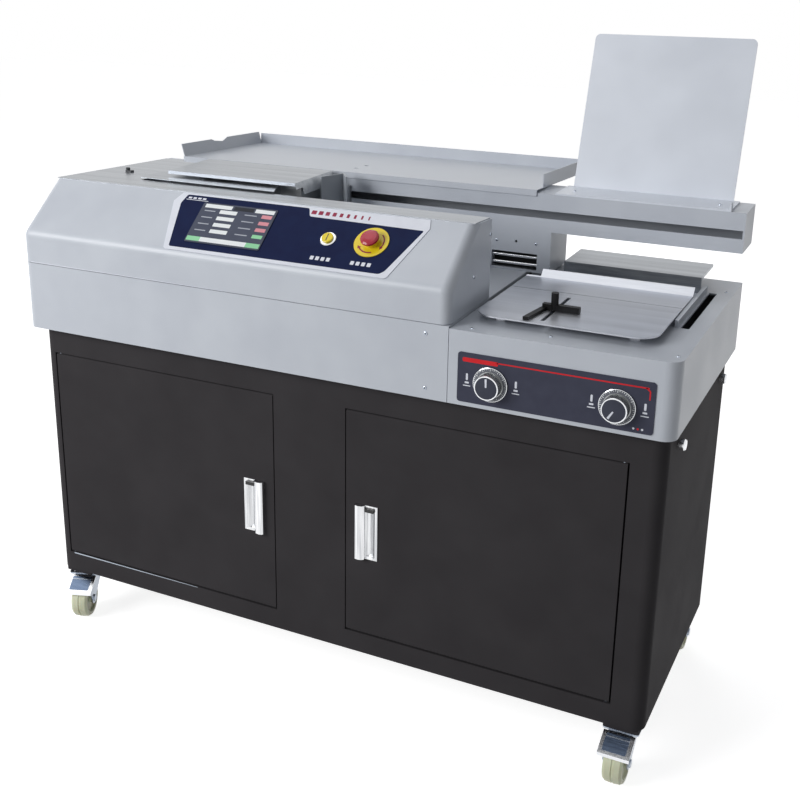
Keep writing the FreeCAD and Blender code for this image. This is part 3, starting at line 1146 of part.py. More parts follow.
# Glue unit: open tank hung in the floor, two rollers running in its end walls
tank = new_body("glue_tank")
tank_left = "left_edge + tank_reach"
tank_right = "left_edge + tank_reach + tank_length"
tank_front_face = "front_face + tank_front"
tank_back_face = "front_face + tank_front + tank_depth"
tank_plan = rectangle(tank_left, tank_front_face, tank_right, tank_back_face)
tank_top = "base_level + tank_level + tank_height"
padded(tank, "walls", "XY", tank_plan, "base_level + tank_level", tank_top)
rim_plan = rectangle(tank_left + " - tank_rim", tank_front_face + " - tank_rim",
                     tank_right + " + tank_rim", tank_back_face + " + tank_rim * 0.4")
padded(tank, "rim", "XY", rim_plan, "seam_level - seam_gap", "seam_level - seam_gap + tank_wall / 2")
tank_room = rectangle(tank_left + " + tank_wall", tank_front_face + " + tank_wall",
                      tank_right + " - tank_wall", tank_back_face + " - tank_wall")
pocketed(tank, "well", "XY", tank_room, "base_level + tank_level + tank_wall", tank_top + " + cut_overrun")
roller_middle = "left_edge + tank_reach + tank_length / 2"
roller_spots = [
    ("front_glue_roller", roller_middle + " - roller_spacing / 2"),
    ("rear_glue_roller", roller_middle + " + roller_spacing / 2")]
drilled(tank, "roller_bores", "XZ",
        [(spot, "base_level + roller_level", "roller_shaft_radius + running_gap")
         for label, spot in roller_spots],
        tank_front_face + " - cut_overrun", tank_back_face + " + cut_overrun")
for label, spot in roller_spots:
    roller = new_body(label, (spot, tank_front_face + " + tank_depth / 2", "base_level + roller_level"))
    ends = "roller_length / 2"
    shaft = "tank_depth / 2"
    turned(roller, "drum", "XY", "V", [
        ("0", "0 - " + shaft), ("roller_shaft_radius", "0 - " + shaft),
        ("roller_shaft_radius", "0 - " + ends),
        ("roller_radius", "0 - " + ends), ("roller_radius", ends), ("roller_shaft_radius", ends),
        ("roller_shaft_radius", shaft), ("0", shaft)])

# Cover table: housing, raised plates and guide
table = new_body("table_housing")
table_plan = rectangle("hood_right + seam_gap / 2", "skirt_front", "table_right", "skirt_back")
padded(table, "case", "XY", table_plan, "cabinet_top", "table_top")
table_room = rectangle("hood_right + seam_gap / 2 + table_wall", "skirt_front + table_wall",
                       "table_right - table_wall", "skirt_back - table_wall")
table_cut = pocketed(table, "room", "XY", table_room, "cabinet_top + table_wall", "table_top - table_wall")
inner_side = size("table_right") - size("table_wall")
inner_face = size("skirt_front") + size("table_wall")
table_inner = rounded(table, "room_corner", table_cut, "cabinet_corner - table_wall",
                      lambda edge: along(edge, Z_AXIS) and near(edge, x=inner_side, y=inner_face))
rounded(table, "front_corner", table_inner, "cabinet_corner",
        lambda edge: along(edge, Z_AXIS) and near(edge, x=size("table_right"), y=size("skirt_front")))
table_mouth = rectangle("hood_right + base_flange", "skirt_front + base_flange",
                        "table_right - base_flange", "skirt_back - base_flange")
pocketed(table, "mouth", "XY", table_mouth,
         "cabinet_top - cut_overrun", "cabinet_top + table_wall + cut_overrun")
side_slot = rectangle("left_edge + side_slot_reach", "front_face + side_slot_front",
                      "left_edge + side_slot_reach + side_slot_width",
                      "front_face + side_slot_front + side_slot_length")
pocketed(table, "side_slot", "XY", side_slot,
         "table_top - table_wall - cut_overrun", "table_top + cut_overrun")
side_rail = rectangle("left_edge + side_rail_reach", "front_face + side_slot_front",
                      "left_edge + side_rail_reach + side_rail_width",
                      "front_face + side_slot_front + side_slot_length")
padded(table, "side_rail", "XY", side_rail, "table_top - table_wall / 2", "table_top + side_rail_height")
table_gap = rectangle("hood_right + seam_gap / 2 - cut_overrun", "front_face + channel_front",
                      "hood_right + seam_gap / 2 + table_gap_width", "skirt_back - table_wall")
pocketed(table, "channel_gap", "XY", table_gap, "table_top - table_gap_depth", "table_top + cut_overrun")
dial_bores = [("left_edge + left_dial_reach", "base_level + dial_level", "dial_shaft_radius + running_gap"),
              ("left_edge + right_dial_reach", "base_level + dial_level", "dial_shaft_radius + running_gap")]
drilled(table, "dial_bores", "XZ", dial_bores, "skirt_front - cut_overrun",
        "skirt_front + table_wall + cut_overrun")

dial_panel = new_body("dial_panel")
dial_plan = rectangle("left_edge + dial_panel_reach", "base_level + dial_panel_level",
                      "left_edge + dial_panel_reach + dial_panel_length",
                      "base_level + dial_panel_level + dial_panel_height")
dial_pad = padded(dial_panel, "sheet", "XZ", dial_plan, "skirt_front - panel_wall", "skirt_front")
rounded(dial_panel, "corners", dial_pad, "dial_panel_corner", lambda edge: along(edge, Y_AXIS))
drilled(dial_panel, "dial_bores", "XZ", dial_bores, "skirt_front - panel_wall - cut_overrun",
        "skirt_front + cut_overrun")

for label, spot in (("left_dial", "left_dial_reach"), ("right_dial", "right_dial_reach")):
    dial = new_body(label, ("left_edge + " + spot, "skirt_front", "base_level + dial_level"))
    ring_back = "0 - panel_wall - clear_gap"
    ring_front = ring_back + " - dial_ring_wall"
    dial_turn = turned(dial, "knob", "XY", "V", [
        ("0", "0 - dial_stand"), ("knob_radius * 0.92", "0 - dial_stand"),
        ("knob_radius", "0 - dial_stand + knob_flute * 2"), ("knob_radius", ring_front),
        ("dial_ring_radius * 0.96", ring_front), ("dial_ring_radius", ring_front + " + dial_ring_wall / 2"),
        ("dial_ring_radius", ring_back), ("dial_shaft_radius", ring_back),
        ("dial_shaft_radius", "dial_shaft_reach"), ("0", "dial_shaft_reach")])
    flute = rod(dial, "flute", "y", "knob_flute",
                "dial_stand - panel_wall - dial_ring_wall - clear_gap - knob_flute * 2",
                ("knob_radius + knob_flute * 0.3", "0 - dial_stand + knob_flute * 2", "0"), "Subtractive")
    flutes = dial.newObject("PartDesign::PolarPattern", "flutes")
    flutes.Originals = [flute]
    flutes.Axis = (dial_turn.Profile[0], ["V_Axis"])
    flutes.Angle = 360
    flutes.Occurrences = 16
    dial.Tip = flutes

top_sheet = new_body("cover_plate")
plate_left = "left_edge + cover_plate_reach"
plate_front = "front_face + cover_plate_front"
sheet_plan = rectangle(plate_left, plate_front,
                       plate_left + " + cover_plate_length", plate_front + " + cover_plate_depth")
sheet_pad = padded(top_sheet, "sheet", "XY", sheet_plan, "base_level + plate_level",
                   "base_level + plate_level + table_plate_wall")
rounded(top_sheet, "front_corners", sheet_pad, "cover_plate_corner",
        lambda edge: along(edge, Z_AXIS) and near(edge, y=size("front_face") + size("cover_plate_front")))
guide_slot = rectangle("left_edge + guide_slot_reach", "front_face + guide_slot_front",
                       "left_edge + guide_slot_reach + guide_slot_width",
                       "front_face + guide_slot_front + guide_slot_length")
pocketed(top_sheet, "guide_slot", "XY", guide_slot, "base_level + plate_level - cut_overrun",
         "base_level + plate_level + table_plate_wall + cut_overrun")
for end, low in (("left", plate_left + " + spacer_inset"),
                 ("right", plate_left + " + cover_plate_length - spacer_inset - spacer_length")):
    box(top_sheet, end + "_spacer", ("spacer_length", "cover_plate_depth - spacer_inset * 2",
                                     "base_level + plate_level - table_top"),
        (low, plate_front + " + spacer_inset", "table_top"))

guide = new_body("side_guide")
guide_top = "base_level + plate_level + table_plate_wall + clear_gap"
bar_front = "front_face + guide_start"
box(guide, "bar", ("guide_bar_length", "guide_bar_depth", "guide_bar_height"),
    ("left_edge + guide_bar_reach", bar_front, guide_top))
lever_plan = [
    ("left_edge + guide_bar_reach", bar_front + " + guide_bar_depth"),
    ("left_edge + guide_bar_reach - guide_lever_skew", bar_front + " - guide_lever_length"),
    ("left_edge + guide_bar_reach - guide_lever_skew + guide_lever_width",
     bar_front + " - guide_lever_length"),
    ("left_edge + guide_bar_reach + guide_lever_width", bar_front + " + guide_bar_depth")]
padded(guide, "lever", "XY", lever_plan, guide_top, guide_top + " + guide_bar_height / 2")
post_x = "left_edge + guide_slot_reach + guide_slot_width / 2"
post_y = bar_front + " + guide_bar_depth / 2"
rod(guide, "post", "z", "guide_post_radius", "guide_post_height", (post_x, post_y, guide_top))
rod(guide, "slot_pin", "z", "guide_slot_width / 2 - clear_gap", "table_plate_wall * 3",
    (post_x, post_y, guide_top + " - table_plate_wall * 2.5"))

# Nip plates: the front one slides back against the fixed rear one under the beam
front_nip = new_body("front_nip_plate")
nip_low = "base_level + plate_level"
nip_front = "front_face + front_nip_front"
nip_back = "front_face + front_nip_front + front_nip_depth"
nip_section = [
    (nip_front, nip_low), (nip_back, nip_low),
    (nip_back + " + nip_lip_run", nip_low + " + nip_lip_rise"),
    (nip_back + " + nip_lip_run - nip_lip_wall", nip_low + " + nip_lip_rise"),
    (nip_back + " - nip_lip_wall * 0.4", nip_low + " + table_plate_wall"),
    (nip_front, nip_low + " + table_plate_wall")]
padded(front_nip, "plate", "YZ", nip_section, plate_left, plate_left + " + cover_plate_length")
for end, low in (("left", plate_left + " + nip_foot_inset"),
                 ("right", plate_left + " + cover_plate_length - nip_foot_inset - nip_foot_width")):
    box(front_nip, end + "_foot",
        ("nip_foot_width", "front_nip_depth * 0.8", nip_low + " - table_top - clear_gap"),
        (low, nip_front + " + front_nip_depth * 0.1", "table_top + clear_gap"))
box(front_nip, "post_relief", ("nip_relief + cut_overrun", "nip_lip_run + cut_overrun", "nip_lip_rise * 2"),
    (plate_left + " - cut_overrun", nip_back, nip_low), "Subtractive")

rear_nip = new_body("rear_nip_plate")
rear_nip_y = "front_face + rear_nip_front"
rear_nip_top = "base_level + rear_nip_level"
rear_nip_section = [
    (rear_nip_y, "table_top"), (rear_nip_y + " + rear_nip_wall", "table_top"),
    (rear_nip_y + " + rear_nip_wall", rear_nip_top + " - rear_nip_wall"),
    (rear_nip_y + " + rear_nip_depth", rear_nip_top + " - rear_nip_wall"),
    (rear_nip_y + " + rear_nip_depth", rear_nip_top), (rear_nip_y, rear_nip_top)]
padded(rear_nip, "angle", "YZ", rear_nip_section, "left_edge + rear_nip_reach",
       "left_edge + rear_nip_reach + rear_nip_length")
rear_nip_left = "left_edge + rear_nip_reach"
for end, low in (("left", rear_nip_left + " + nip_foot_inset"),
                 ("right", rear_nip_left + " + rear_nip_length - nip_foot_inset - nip_foot_width")):
    box(rear_nip, end + "_rib",
        ("nip_foot_width", "rear_nip_rib_depth", rear_nip_top + " - rear_nip_wall / 2 - table_top"),
        (low, rear_nip_y + " + rear_nip_wall / 2", "table_top"))

# Mains inlet on the back, thumb screws on the right side
inlet = new_body("mains_inlet")
inlet_left = "left_edge + inlet_reach"
inlet_low = "base_level + inlet_level"
padded(inlet, "frame", "XZ", rectangle(inlet_left, inlet_low, inlet_left + " + inlet_length",
                                                   inlet_low + " + inlet_height"),
                   "cabinet_back", "cabinet_back + inlet_stand")
pocketed(inlet, "socket", "XZ", rectangle(inlet_left + " + inlet_wall", inlet_low + " + inlet_wall",
                                          inlet_left + " + inlet_length - inlet_wall",
                                          inlet_low + " + inlet_height - inlet_wall"),
         "cabinet_back + inlet_stand - inlet_pocket", "cabinet_back + inlet_stand + cut_overrun")

screws = new_body("thumb_screws")
for end, spot in (("front", "front_face + thumb_front"), ("rear", "front_face + thumb_back")):
    turned(screws, end + "_screw", "XY", "H", [
        ("0", "0"), ("thumb_height", "0"), ("thumb_height", "thumb_radius * 0.85"),
        ("thumb_height * 0.8", "thumb_radius"), ("thumb_height * 0.25", "thumb_radius"),
        ("thumb_height * 0.25", "thumb_radius * 0.6"), ("0", "thumb_radius * 0.6")],
        ("cabinet_right", spot, "base_level + thumb_level"))

doc.recompute()

for item in doc.Objects:
    for word in ("Invalid", "Error"):
        if word in item.State:
            raise RuntimeError(item.Label + " of " + item.Name + " is " + word)
os.makedirs("parts", exist_ok=True)
for body in bodies:
    shape = body.Shape
    if shape.isNull() or not shape.isValid() or not shape.Solids:
        raise RuntimeError(body.Label + " has no valid solid")
    shape.exportStep("parts/" + body.Label + ".step")
print(len(bodies), "pieces")
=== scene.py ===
import math
import bmesh
import bpy
from mathutils import Matrix, Vector


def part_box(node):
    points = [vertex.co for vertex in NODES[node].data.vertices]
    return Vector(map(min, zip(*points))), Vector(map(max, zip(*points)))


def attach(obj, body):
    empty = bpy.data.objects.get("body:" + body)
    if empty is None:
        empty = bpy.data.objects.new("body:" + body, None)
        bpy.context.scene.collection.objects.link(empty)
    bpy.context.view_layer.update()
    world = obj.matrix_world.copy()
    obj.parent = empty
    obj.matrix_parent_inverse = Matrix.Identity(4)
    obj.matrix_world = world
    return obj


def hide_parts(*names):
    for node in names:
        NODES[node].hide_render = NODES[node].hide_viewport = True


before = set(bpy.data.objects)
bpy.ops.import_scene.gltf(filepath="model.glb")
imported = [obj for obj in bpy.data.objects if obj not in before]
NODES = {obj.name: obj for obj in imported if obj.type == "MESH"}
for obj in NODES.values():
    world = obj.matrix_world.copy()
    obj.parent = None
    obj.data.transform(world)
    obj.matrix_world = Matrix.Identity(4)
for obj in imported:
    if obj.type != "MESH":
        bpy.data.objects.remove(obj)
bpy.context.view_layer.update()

# Units, axes and faces of the machine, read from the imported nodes; lengths without a unit are millimetres
MM = 0.001
ACROSS, BACK, UP = Vector((1, 0, 0)), Vector((0, 1, 0)), Vector((0, 0, 1))
X, Y, Z = 0, 1, 2
LOW, HIGH = 0, 1
BACK_PANEL_LIFT = 3
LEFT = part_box("cabinet_shell")[LOW].x
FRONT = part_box("cabinet_shell")[LOW].y
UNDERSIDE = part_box("cabinet_back_panel")[LOW].z - BACK_PANEL_LIFT * MM


def at(across, back, up):
    """A point measured from the cabinet's left side, front face and underside."""
    return Vector((LEFT + across * MM, FRONT + back * MM, UNDERSIDE + up * MM))


def edge(name, corner, axis):
    """Where a node's box begins (LOW) or ends (HIGH) along an axis, measured from the same three faces."""
    return (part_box(name)[corner][axis] - (LEFT, FRONT, UNDERSIDE)[axis]) / MM


def middle(name, axis):
    return (edge(name, LOW, axis) + edge(name, HIGH, axis)) / 2


def facing(origin, right, up):
    """The frame of a flat face: first axis to its right, second up it, third out of it."""
    axes = Matrix((right, up, right.cross(up))).transposed().to_4x4()
    return Matrix.Translation(origin) @ axes


FLAT = facing(at(0, 0, 0), ACROSS, BACK)
CABINET_FRONT = facing(at(0, 0, 0), ACROSS, UP)
HOOD_FRONT = edge("hood_cover", LOW, Y)
HOOD_RIGHT = edge("hood_cover", HIGH, X)

# The control panel lies on the hood's slope: origin at the crease, second axis up the slope
CREASE_HEIGHT = 697
SLOPE_DEPTH, SLOPE_RISE = 103, 82
SLOPE = Vector((0, SLOPE_DEPTH, SLOPE_RISE)).normalized()
OUTWARD = Vector((0, -SLOPE.z, SLOPE.y))
CREASE = at(0, HOOD_FRONT, CREASE_HEIGHT)
SLOPE_FRAME = facing(CREASE, ACROSS, SLOPE)

# The deck falls to the rear from the front edge of its opening
DECK_FALL = math.radians(3)
OPENING_FRONT = 155
OPENING_LEVEL = 777
DECK_DOWNHILL = Vector((0, math.cos(DECK_FALL), -math.sin(DECK_FALL)))
DECK = facing(at(0, OPENING_FRONT, OPENING_LEVEL), ACROSS, DECK_DOWNHILL)


# Colours and shader nodes
def colour(code):
    """sRGB hex to the linear colour that a shader socket takes."""
    parts = [int(code[i:i + 2], 16) / 255 for i in (1, 3, 5)]
    line = [c / 12.92 if c <= 0.04045 else ((c + 0.055) / 1.055) ** 2.4 for c in parts]
    return (*line, 1)


def grey(value):
    return (value, value, value, 1)


def node(material, kind, inputs=None, **settings):
    """Adds one shader node with its settings, values and links."""
    made = material.node_tree.nodes.new("ShaderNode" + kind)
    for name, value in settings.items():
        setattr(made, name, value)
    for name, value in (inputs or {}).items():
        if isinstance(value, bpy.types.NodeSocket):
            material.node_tree.links.new(value, made.inputs[name])
        else:
            made.inputs[name].default_value = value
    return made


def new_material(name):
    material = bpy.data.materials.new(name)
    material.use_nodes = True
    material.node_tree.nodes.clear()
    return material


def finish_material(material, shader):
    node(material, "OutputMaterial", {"Surface": shader.outputs[0]})
    return material


def object_grain(material, size, detail=2, stretch=(1, 1, 1)):
    """Noise on Object coordinates with features of one size, longer where stretch is under one."""
    place = node(material, "TexCoord").outputs["Object"]
    scaled = node(material, "Mapping", {"Vector": place, "Scale": stretch})
    return node(material, "TexNoise", {
        "Vector": scaled.outputs[0], "Scale": 1 / (size * MM), "Detail": detail})


RAMP_STOPS = (0.3, 0.7)
PAINT_PATCH = 90
PLASTIC_PATCH = 25
STRETCH_ALONG_GRAIN = 0.03


def ramp(material, source, low, high):
    """Two colours or greys laid over the middle of a noise."""
    made = node(material, "ValToRGB", {"Fac": source})
    for stop, position, value in zip(made.color_ramp.elements, RAMP_STOPS, (low, high)):
        stop.position = position
        stop.color = value
    return made.outputs[0]


def painted_sheet(name, low, high, roughness, peel, relief, gloss=0.5):
    """Stove enamel or powder coat on sheet steel: even colour, faint orange peel, a slightly uneven gloss."""
    material = new_material(name)
    cloud = object_grain(material, PAINT_PATCH).outputs[0]
    bump = node(material, "Bump", {
        "Height": object_grain(material, peel).outputs[0], "Strength": relief, "Distance": 0.4 * MM})
    shader = node(material, "BsdfPrincipled", {
        "Base Color": ramp(material, cloud, colour(low), colour(high)),
        "Roughness": ramp(material, cloud, grey(roughness - 0.03), grey(roughness + 0.04)),
        "Normal": bump.outputs[0], "Specular IOR Level": gloss})
    return finish_material(material, shader)


def rolled_metal(name, low, high, roughness, grain, along, relief=0.25, streak=60):
    """Bare or plated metal with fine parallel scratches of rolling, brushing or grinding along one axis."""
    material = new_material(name)
    stretch = tuple(STRETCH_ALONG_GRAIN if axis == along else 1.0 for axis in (X, Y, Z))
    lines = object_grain(material, grain, 4, stretch).outputs[0]
    cloud = object_grain(material, streak, 2, stretch).outputs[0]
    bump = node(material, "Bump", {"Height": lines, "Strength": relief, "Distance": 0.2 * MM})
    mixed = node(material, "Mix", {"Factor": 0.5, "A": lines, "B": cloud}, data_type="FLOAT")
    shader = node(material, "BsdfPrincipled", {
        "Base Color": ramp(material, mixed.outputs[0], colour(low), colour(high)),
        "Metallic": 1.0,
        "Roughness": ramp(material, lines, grey(roughness - 0.05), grey(roughness + 0.07)),
        "Normal": bump.outputs[0]})
    return finish_material(material, shader)


def moulded(name, low, high, roughness, grain=0.8, relief=0.1, gloss=0.5, subsurface=0.0):
    """Moulded plastic or rubber, or a printed film: even colour with a very fine skin texture."""
    material = new_material(name)
    skin = object_grain(material, grain).outputs[0]
    cloud = object_grain(material, PLASTIC_PATCH).outputs[0]
    bump = node(material, "Bump", {"Height": skin, "Strength": relief, "Distance": 0.3 * MM})
    shader = node(material, "BsdfPrincipled", {
        "Base Color": ramp(material, cloud, colour(low), colour(high)),
        "Specular IOR Level": gloss, "Normal": bump.outputs[0],
        "Roughness": ramp(material, cloud, grey(roughness - 0.03), grey(roughness + 0.03)),
        "Subsurface Weight": subsurface})
    return finish_material(material, shader)


def film(name, low, high, roughness=0.4, gloss=0.2):
    """Screen-printed film: a flat, even ink."""
    return moulded(name, low, high, roughness, grain=0.6, relief=0.05, gloss=gloss)


def lit_page(name, low, high, roughness=0.36, gloss=0.15):
    """What shows through the display's smooth front."""
    return moulded(name, low, high, roughness, grain=0.6, relief=0.02, gloss=gloss)


# Satin stove enamel over pressed steel: pale blue-grey, a soft sheen with faint orange peel
pale_enamel = painted_sheet("pale_grey_enamel", "#BABFC8", "#C2C7CF", roughness=0.36, peel=1.6, relief=0.1)
# The book rest's enamel is a shade lighter and smoother
rest_enamel = painted_sheet("light_grey_enamel", "#D5DAE3", "#DCE1EA", roughness=0.34, peel=1.6, relief=0.08)
# The clamp's end bracket is a darker grey of the same enamel
slate_enamel = painted_sheet("mid_grey_enamel", "#9EA3AA", "#A7ACB3", roughness=0.4, peel=1.6, relief=0.1)
# Fine-textured powder coat: near black and dull
black_powder = painted_sheet("black_powder_coat", "#393739", "#3E3C3E",
                             roughness=0.6, peel=0.9, relief=0.2, gloss=0.02)
# Brushed stainless sheet: long fine lines along the machine, cool grey
stainless_long = rolled_metal("brushed_stainless_deck", "#83878D", "#A9ADB2",
                              roughness=0.32, grain=1.1, along=X, streak=14)
# The cover plate and the front nip plate are ground finer and look paler
stainless_pale = rolled_metal("brushed_stainless_plate", "#B4B7BE", "#CED1D8",
                              roughness=0.34, grain=1.1, along=X, relief=0.2, streak=22)
# Machined aluminium of the jaws, the carriage and the tank: even grey with broad soft marks
milled_aluminium = rolled_metal("milled_aluminium", "#9A9DA0", "#B4B7BA",
                                roughness=0.36, grain=1.3, along=X)
# Bright zinc plate on pressed steel: bluish, with a soft mirror
zinc_plate = rolled_metal("bright_zinc_plate", "#98A0AC", "#B2B9C3",
                          roughness=0.24, grain=1.5, along=Z, relief=0.06)
# Chrome plate of the bezel, pedals, thumb screws, rods and dial rims: near mirror
chrome_plate = rolled_metal("chrome_plate", "#DCDEE2", "#ECEDEF",
                            roughness=0.14, grain=2.0, along=Z, relief=0.05)
# The dials' skirts and flutes are satin chrome, darker than the rims
scale_chrome = rolled_metal("satin_chrome_scale", "#8D8F90", "#A9ABAC",
                            roughness=0.28, grain=1.0, along=Z, relief=0.1)
# The door pulls' grips are chromed, with bands of painted reflection, light and dark, running from end to end
grip_chrome_painted_reflections = rolled_metal("chrome_with_painted_reflection_bands", "#A8AAAE", "#F8F8F9",
                           roughness=0.16, grain=2.0, along=Z, relief=0.05, streak=7)
# The pulls' hollows are barrel-polished, softer than the grips, with the same bands of painted reflection
liner_chrome = rolled_metal("barrel_polished_chrome_painted_bands", "#989A9E", "#F0F1F2",
                            roughness=0.3, grain=2.0, along=Z, relief=0.05, streak=7)
# Zinc plate with a blue passivation, on the brake pedals' treads
blue_zinc = rolled_metal("blue_passivated_zinc", "#55647C", "#75849B",
                         roughness=0.22, grain=1.4, along=X, relief=0.12, streak=9)
# The rail behind the beam's slot is painted dark: painted shade that makes the slot read dark
slot_shade_rail = rolled_metal("rail_painted_slot_shade", "#33373F", "#41454E",
                          roughness=0.36, grain=1.0, along=X, relief=0.2)
# Blackened steel of the side guide and the motor: dark with a dull sheen
blackened_steel = rolled_metal("blackened_steel", "#1B1B1C", "#2A2A2B", roughness=0.4, grain=1.0, along=Y)
# Screen-printed films of the panels: flat inks with a satin face
navy_film = film("navy_printed_film", "#131B3D", "#172143", roughness=0.45, gloss=0.06)
white_film = film("white_printed_film", "#DCDFE8", "#E2E5EE")
slate_film = film("slate_printed_film", "#3B3D4C", "#414352", roughness=0.42, gloss=0.12)
red_film = film("red_printed_film", "#CE1E26", "#D8262D")
maroon_film = film("maroon_printed_film", "#8C2440", "#962E4A")
# Clear front of the display, dark behind
display_glass = lit_page("display_glass", "#3F4453", "#464B5A", roughness=0.3, gloss=0.2)
# The page that the lit display shows: flat greys with pink and green keys
page_slate = lit_page("display_page_slate", "#454A5A", "#4A4F5F")
page_grey = lit_page("display_page_grey", "#A9ADB8", "#B3B7C1")
page_white = lit_page("display_page_white", "#E6EAEC", "#ECEFF0")
page_pink = lit_page("display_page_pink", "#D68E98", "#DE99A2")
page_green = lit_page("display_page_green", "#8FCFA0", "#9AD8AA")
page_black = lit_page("display_page_black", "#22252D", "#282B33")
# Gloss ABS of the buttons and the stop disc: clear bright colours with sharp highlights
yellow_abs = moulded("yellow_abs", "#DFC516", "#E8D020", roughness=0.3)
red_abs = moulded("red_abs", "#A0142C", "#AE1C34", roughness=0.2)
# Matt black ABS of the inlet and the catch; in the screws' recesses it is painted shade
black_abs = moulded("black_abs", "#1E2126", "#24272C", roughness=0.42)
# Etched grey of the dials' scale rings: dark between the bright rims
scale_face = moulded("etched_scale_grey", "#5E6068", "#676972", roughness=0.4, gloss=0.3)
# Slate ABS of the dials' faces, as dark as the panel round them
dial_abs = moulded("dark_slate_abs", "#343743", "#3A3D4A", roughness=0.4, gloss=0.2)
# Cream-green polyurethane of the caster tyres, slightly waxy
cream_polyurethane = moulded("cream_green_polyurethane", "#CDD0B0", "#D8DBC0",
                             roughness=0.42, grain=1.2, relief=0.12, subsurface=0.08)
# Black painted shade, moulded like rubber: in the gap beside the table, behind the post's window and deep in
# the pulls' hollows
painted_shade_black = moulded("black_painted_shade", "#151515", "#1C1C1C", roughness=0.55)

FINISHES = {
    pale_enamel: ["base_skirt", "hood_cover", "beam", "beam_post_left", "beam_post_right", "paper_tray",
                  "table_housing"],
    rest_enamel: ["book_rest"],
    slate_enamel: ["clamp_end_bracket"],
    black_powder: ["cabinet_shell", "cabinet_back_panel", "cabinet_divider", "left_door", "right_door"],
    stainless_long: ["deck_plate", "clamp_cover", "rear_nip_plate"],
    stainless_pale: ["cover_plate", "front_nip_plate"],
    milled_aluminium: ["clamp_carriage", "rear_jaw", "front_jaw", "glue_tank"],
    slot_shade_rail: ["carriage_rail"],
    zinc_plate: ["cutter_disc", "front_glue_roller", "rear_glue_roller", "left_door_pins",
                 "right_door_pins"],
    grip_chrome_painted_reflections: ["left_door_handle", "right_door_handle"],
    chrome_plate: ["start_bezel", "thumb_screws"],
    blackened_steel: ["side_guide", "cutter_motor"],
    white_film: ["control_panel"],
    slate_film: ["dial_panel"],
    display_glass: ["touch_screen"],
    yellow_abs: ["start_button", "stop_plate"],
    red_abs: ["stop_button"],
    black_abs: ["left_dial", "right_dial", "mains_inlet"],
    cream_polyurethane: [],
}
# How far each caster stands turned about its swivel, in degrees
CASTER_TURNS = {"front_left": 20, "front_right": 0, "rear_left": 180, "rear_right": 180}
for corner in CASTER_TURNS:
    FINISHES[zinc_plate] += [corner + "_caster_plate", corner + "_caster_fork"]
    FINISHES[chrome_plate].append(corner + "_caster_pedal")
    FINISHES[cream_polyurethane].append(corner + "_caster_wheel")
for material, names in FINISHES.items():
    for name in names:
        mesh = NODES[name].data
        mesh.materials.clear()
        mesh.materials.append(material)


# Making new pieces
def settle(bm, before, place, slot):
    """Gives what was just made its material slot and its place."""
    fresh = [v for v in bm.verts if v not in before]
    for face in {f for v in fresh for f in v.link_faces}:
        face.material_index = slot
    bmesh.ops.transform(bm, matrix=place, verts=fresh)


def add_plate(bm, outline, low, high, place, slot=0, corner=0.0):
    """A flat plate between two heights over its face, its corners rounded."""
    before = set(bm.verts)
    corners = [bm.verts.new((x * MM, y * MM, low * MM)) for x, y in outline]
    bm.faces.new(corners)
    if corner:
        bmesh.ops.bevel(bm, geom=corners, offset=corner * MM, offset_type="OFFSET", segments=5,
                        profile=0.5, affect="VERTICES", material=-1)
    face = next(f for f in bm.faces if f.verts[0] not in before)
    made = bmesh.ops.extrude_face_region(bm, geom=[face])["geom"]
    raised = [item for item in made if isinstance(item, bmesh.types.BMVert)]
    bmesh.ops.translate(bm, verts=raised, vec=(0, 0, (high - low) * MM))
    settle(bm, before, place, slot)


def add_block(bm, left, low, right, high, near, far, place, slot=0, corner=0.0):
    """A plate with a rectangular outline."""
    outline = [(left, low), (right, low), (right, high), (left, high)]
    add_plate(bm, outline, near, far, place, slot, corner)


def add_turned(bm, profile, place, slot=0, steps=32):
    """A turned piece: its profile of radius and height spun about the face's third axis."""
    before = set(bm.verts)
    points = [bm.verts.new((radius * MM, 0, height * MM)) for radius, height in profile]
    edges = [bm.edges.new(pair) for pair in zip(points, points[1:])]
    bmesh.ops.spin(bm, geom=points + edges, cent=(0, 0, 0), axis=(0, 0, 1), angle=math.tau,
                   steps=steps, use_merge=True)
    bmesh.ops.remove_doubles(bm, verts=[v for v in bm.verts if v not in before], dist=1e-6)
    settle(bm, before, place, slot)


def shifted(place, right=0.0, up=0.0, out=0.0):
    return place @ Matrix.Translation((right * MM, up * MM, out * MM))


def turned(place, degrees):
    return place @ Matrix.Rotation(math.radians(degrees), 4, "Z")


def piece_from(bm, name, body, finish_slot, *materials, smooth=False):
    """Turns a finished bmesh into a piece that rides on a body."""
    mesh = bpy.data.meshes.new(name)
    bmesh.ops.recalc_face_normals(bm, faces=bm.faces)
    for face in bm.faces:
        face.smooth = smooth
    bm.to_mesh(mesh)
    bm.free()
    made = bpy.data.objects.new(name, mesh)
    bpy.context.scene.collection.objects.link(made)
    for material in materials:
        mesh.materials.append(material)
    if smooth:
        mesh.set_sharp_from_angle(angle=math.radians(38))
    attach(made, body)
    return made


# Levels on the hood's slope
def slope_span(name, way):
    """A node's least and greatest reach from the crease along one direction."""
    reaches = [(v.co - CREASE).dot(way) / MM for v in NODES[name].data.vertices]
    return min(reaches), max(reaches)


def slope_place(name, share):
    """A frame on the slope at a node: a share of 0 gives its low left corner, and 0.5 its middle."""
    spans = (slope_span(name, ACROSS), slope_span(name, SLOPE))
    right, up = [low + share * (high - low) for low, high in spans]
    return shifted(SLOPE_FRAME, right, up)


INK = 0.1
FILM = 0.15
DISC = 1.5
PANEL_FACE = slope_span("control_panel", OUTWARD)[HIGH]
FIELD_FACE = PANEL_FACE + FILM
SCREEN_FACE = slope_span("touch_screen", OUTWARD)[HIGH]
START_FACE = slope_span("start_button", OUTWARD)[HIGH]
DISC_FACE = PANEL_FACE + DISC


def add_mark(bm, left, low, width, height, face, place, slot=0, corner=0.0):
    """A printed mark one layer of ink thick."""
    add_block(bm, left, low, left + width, low + height, face, face + INK, place, slot, corner)


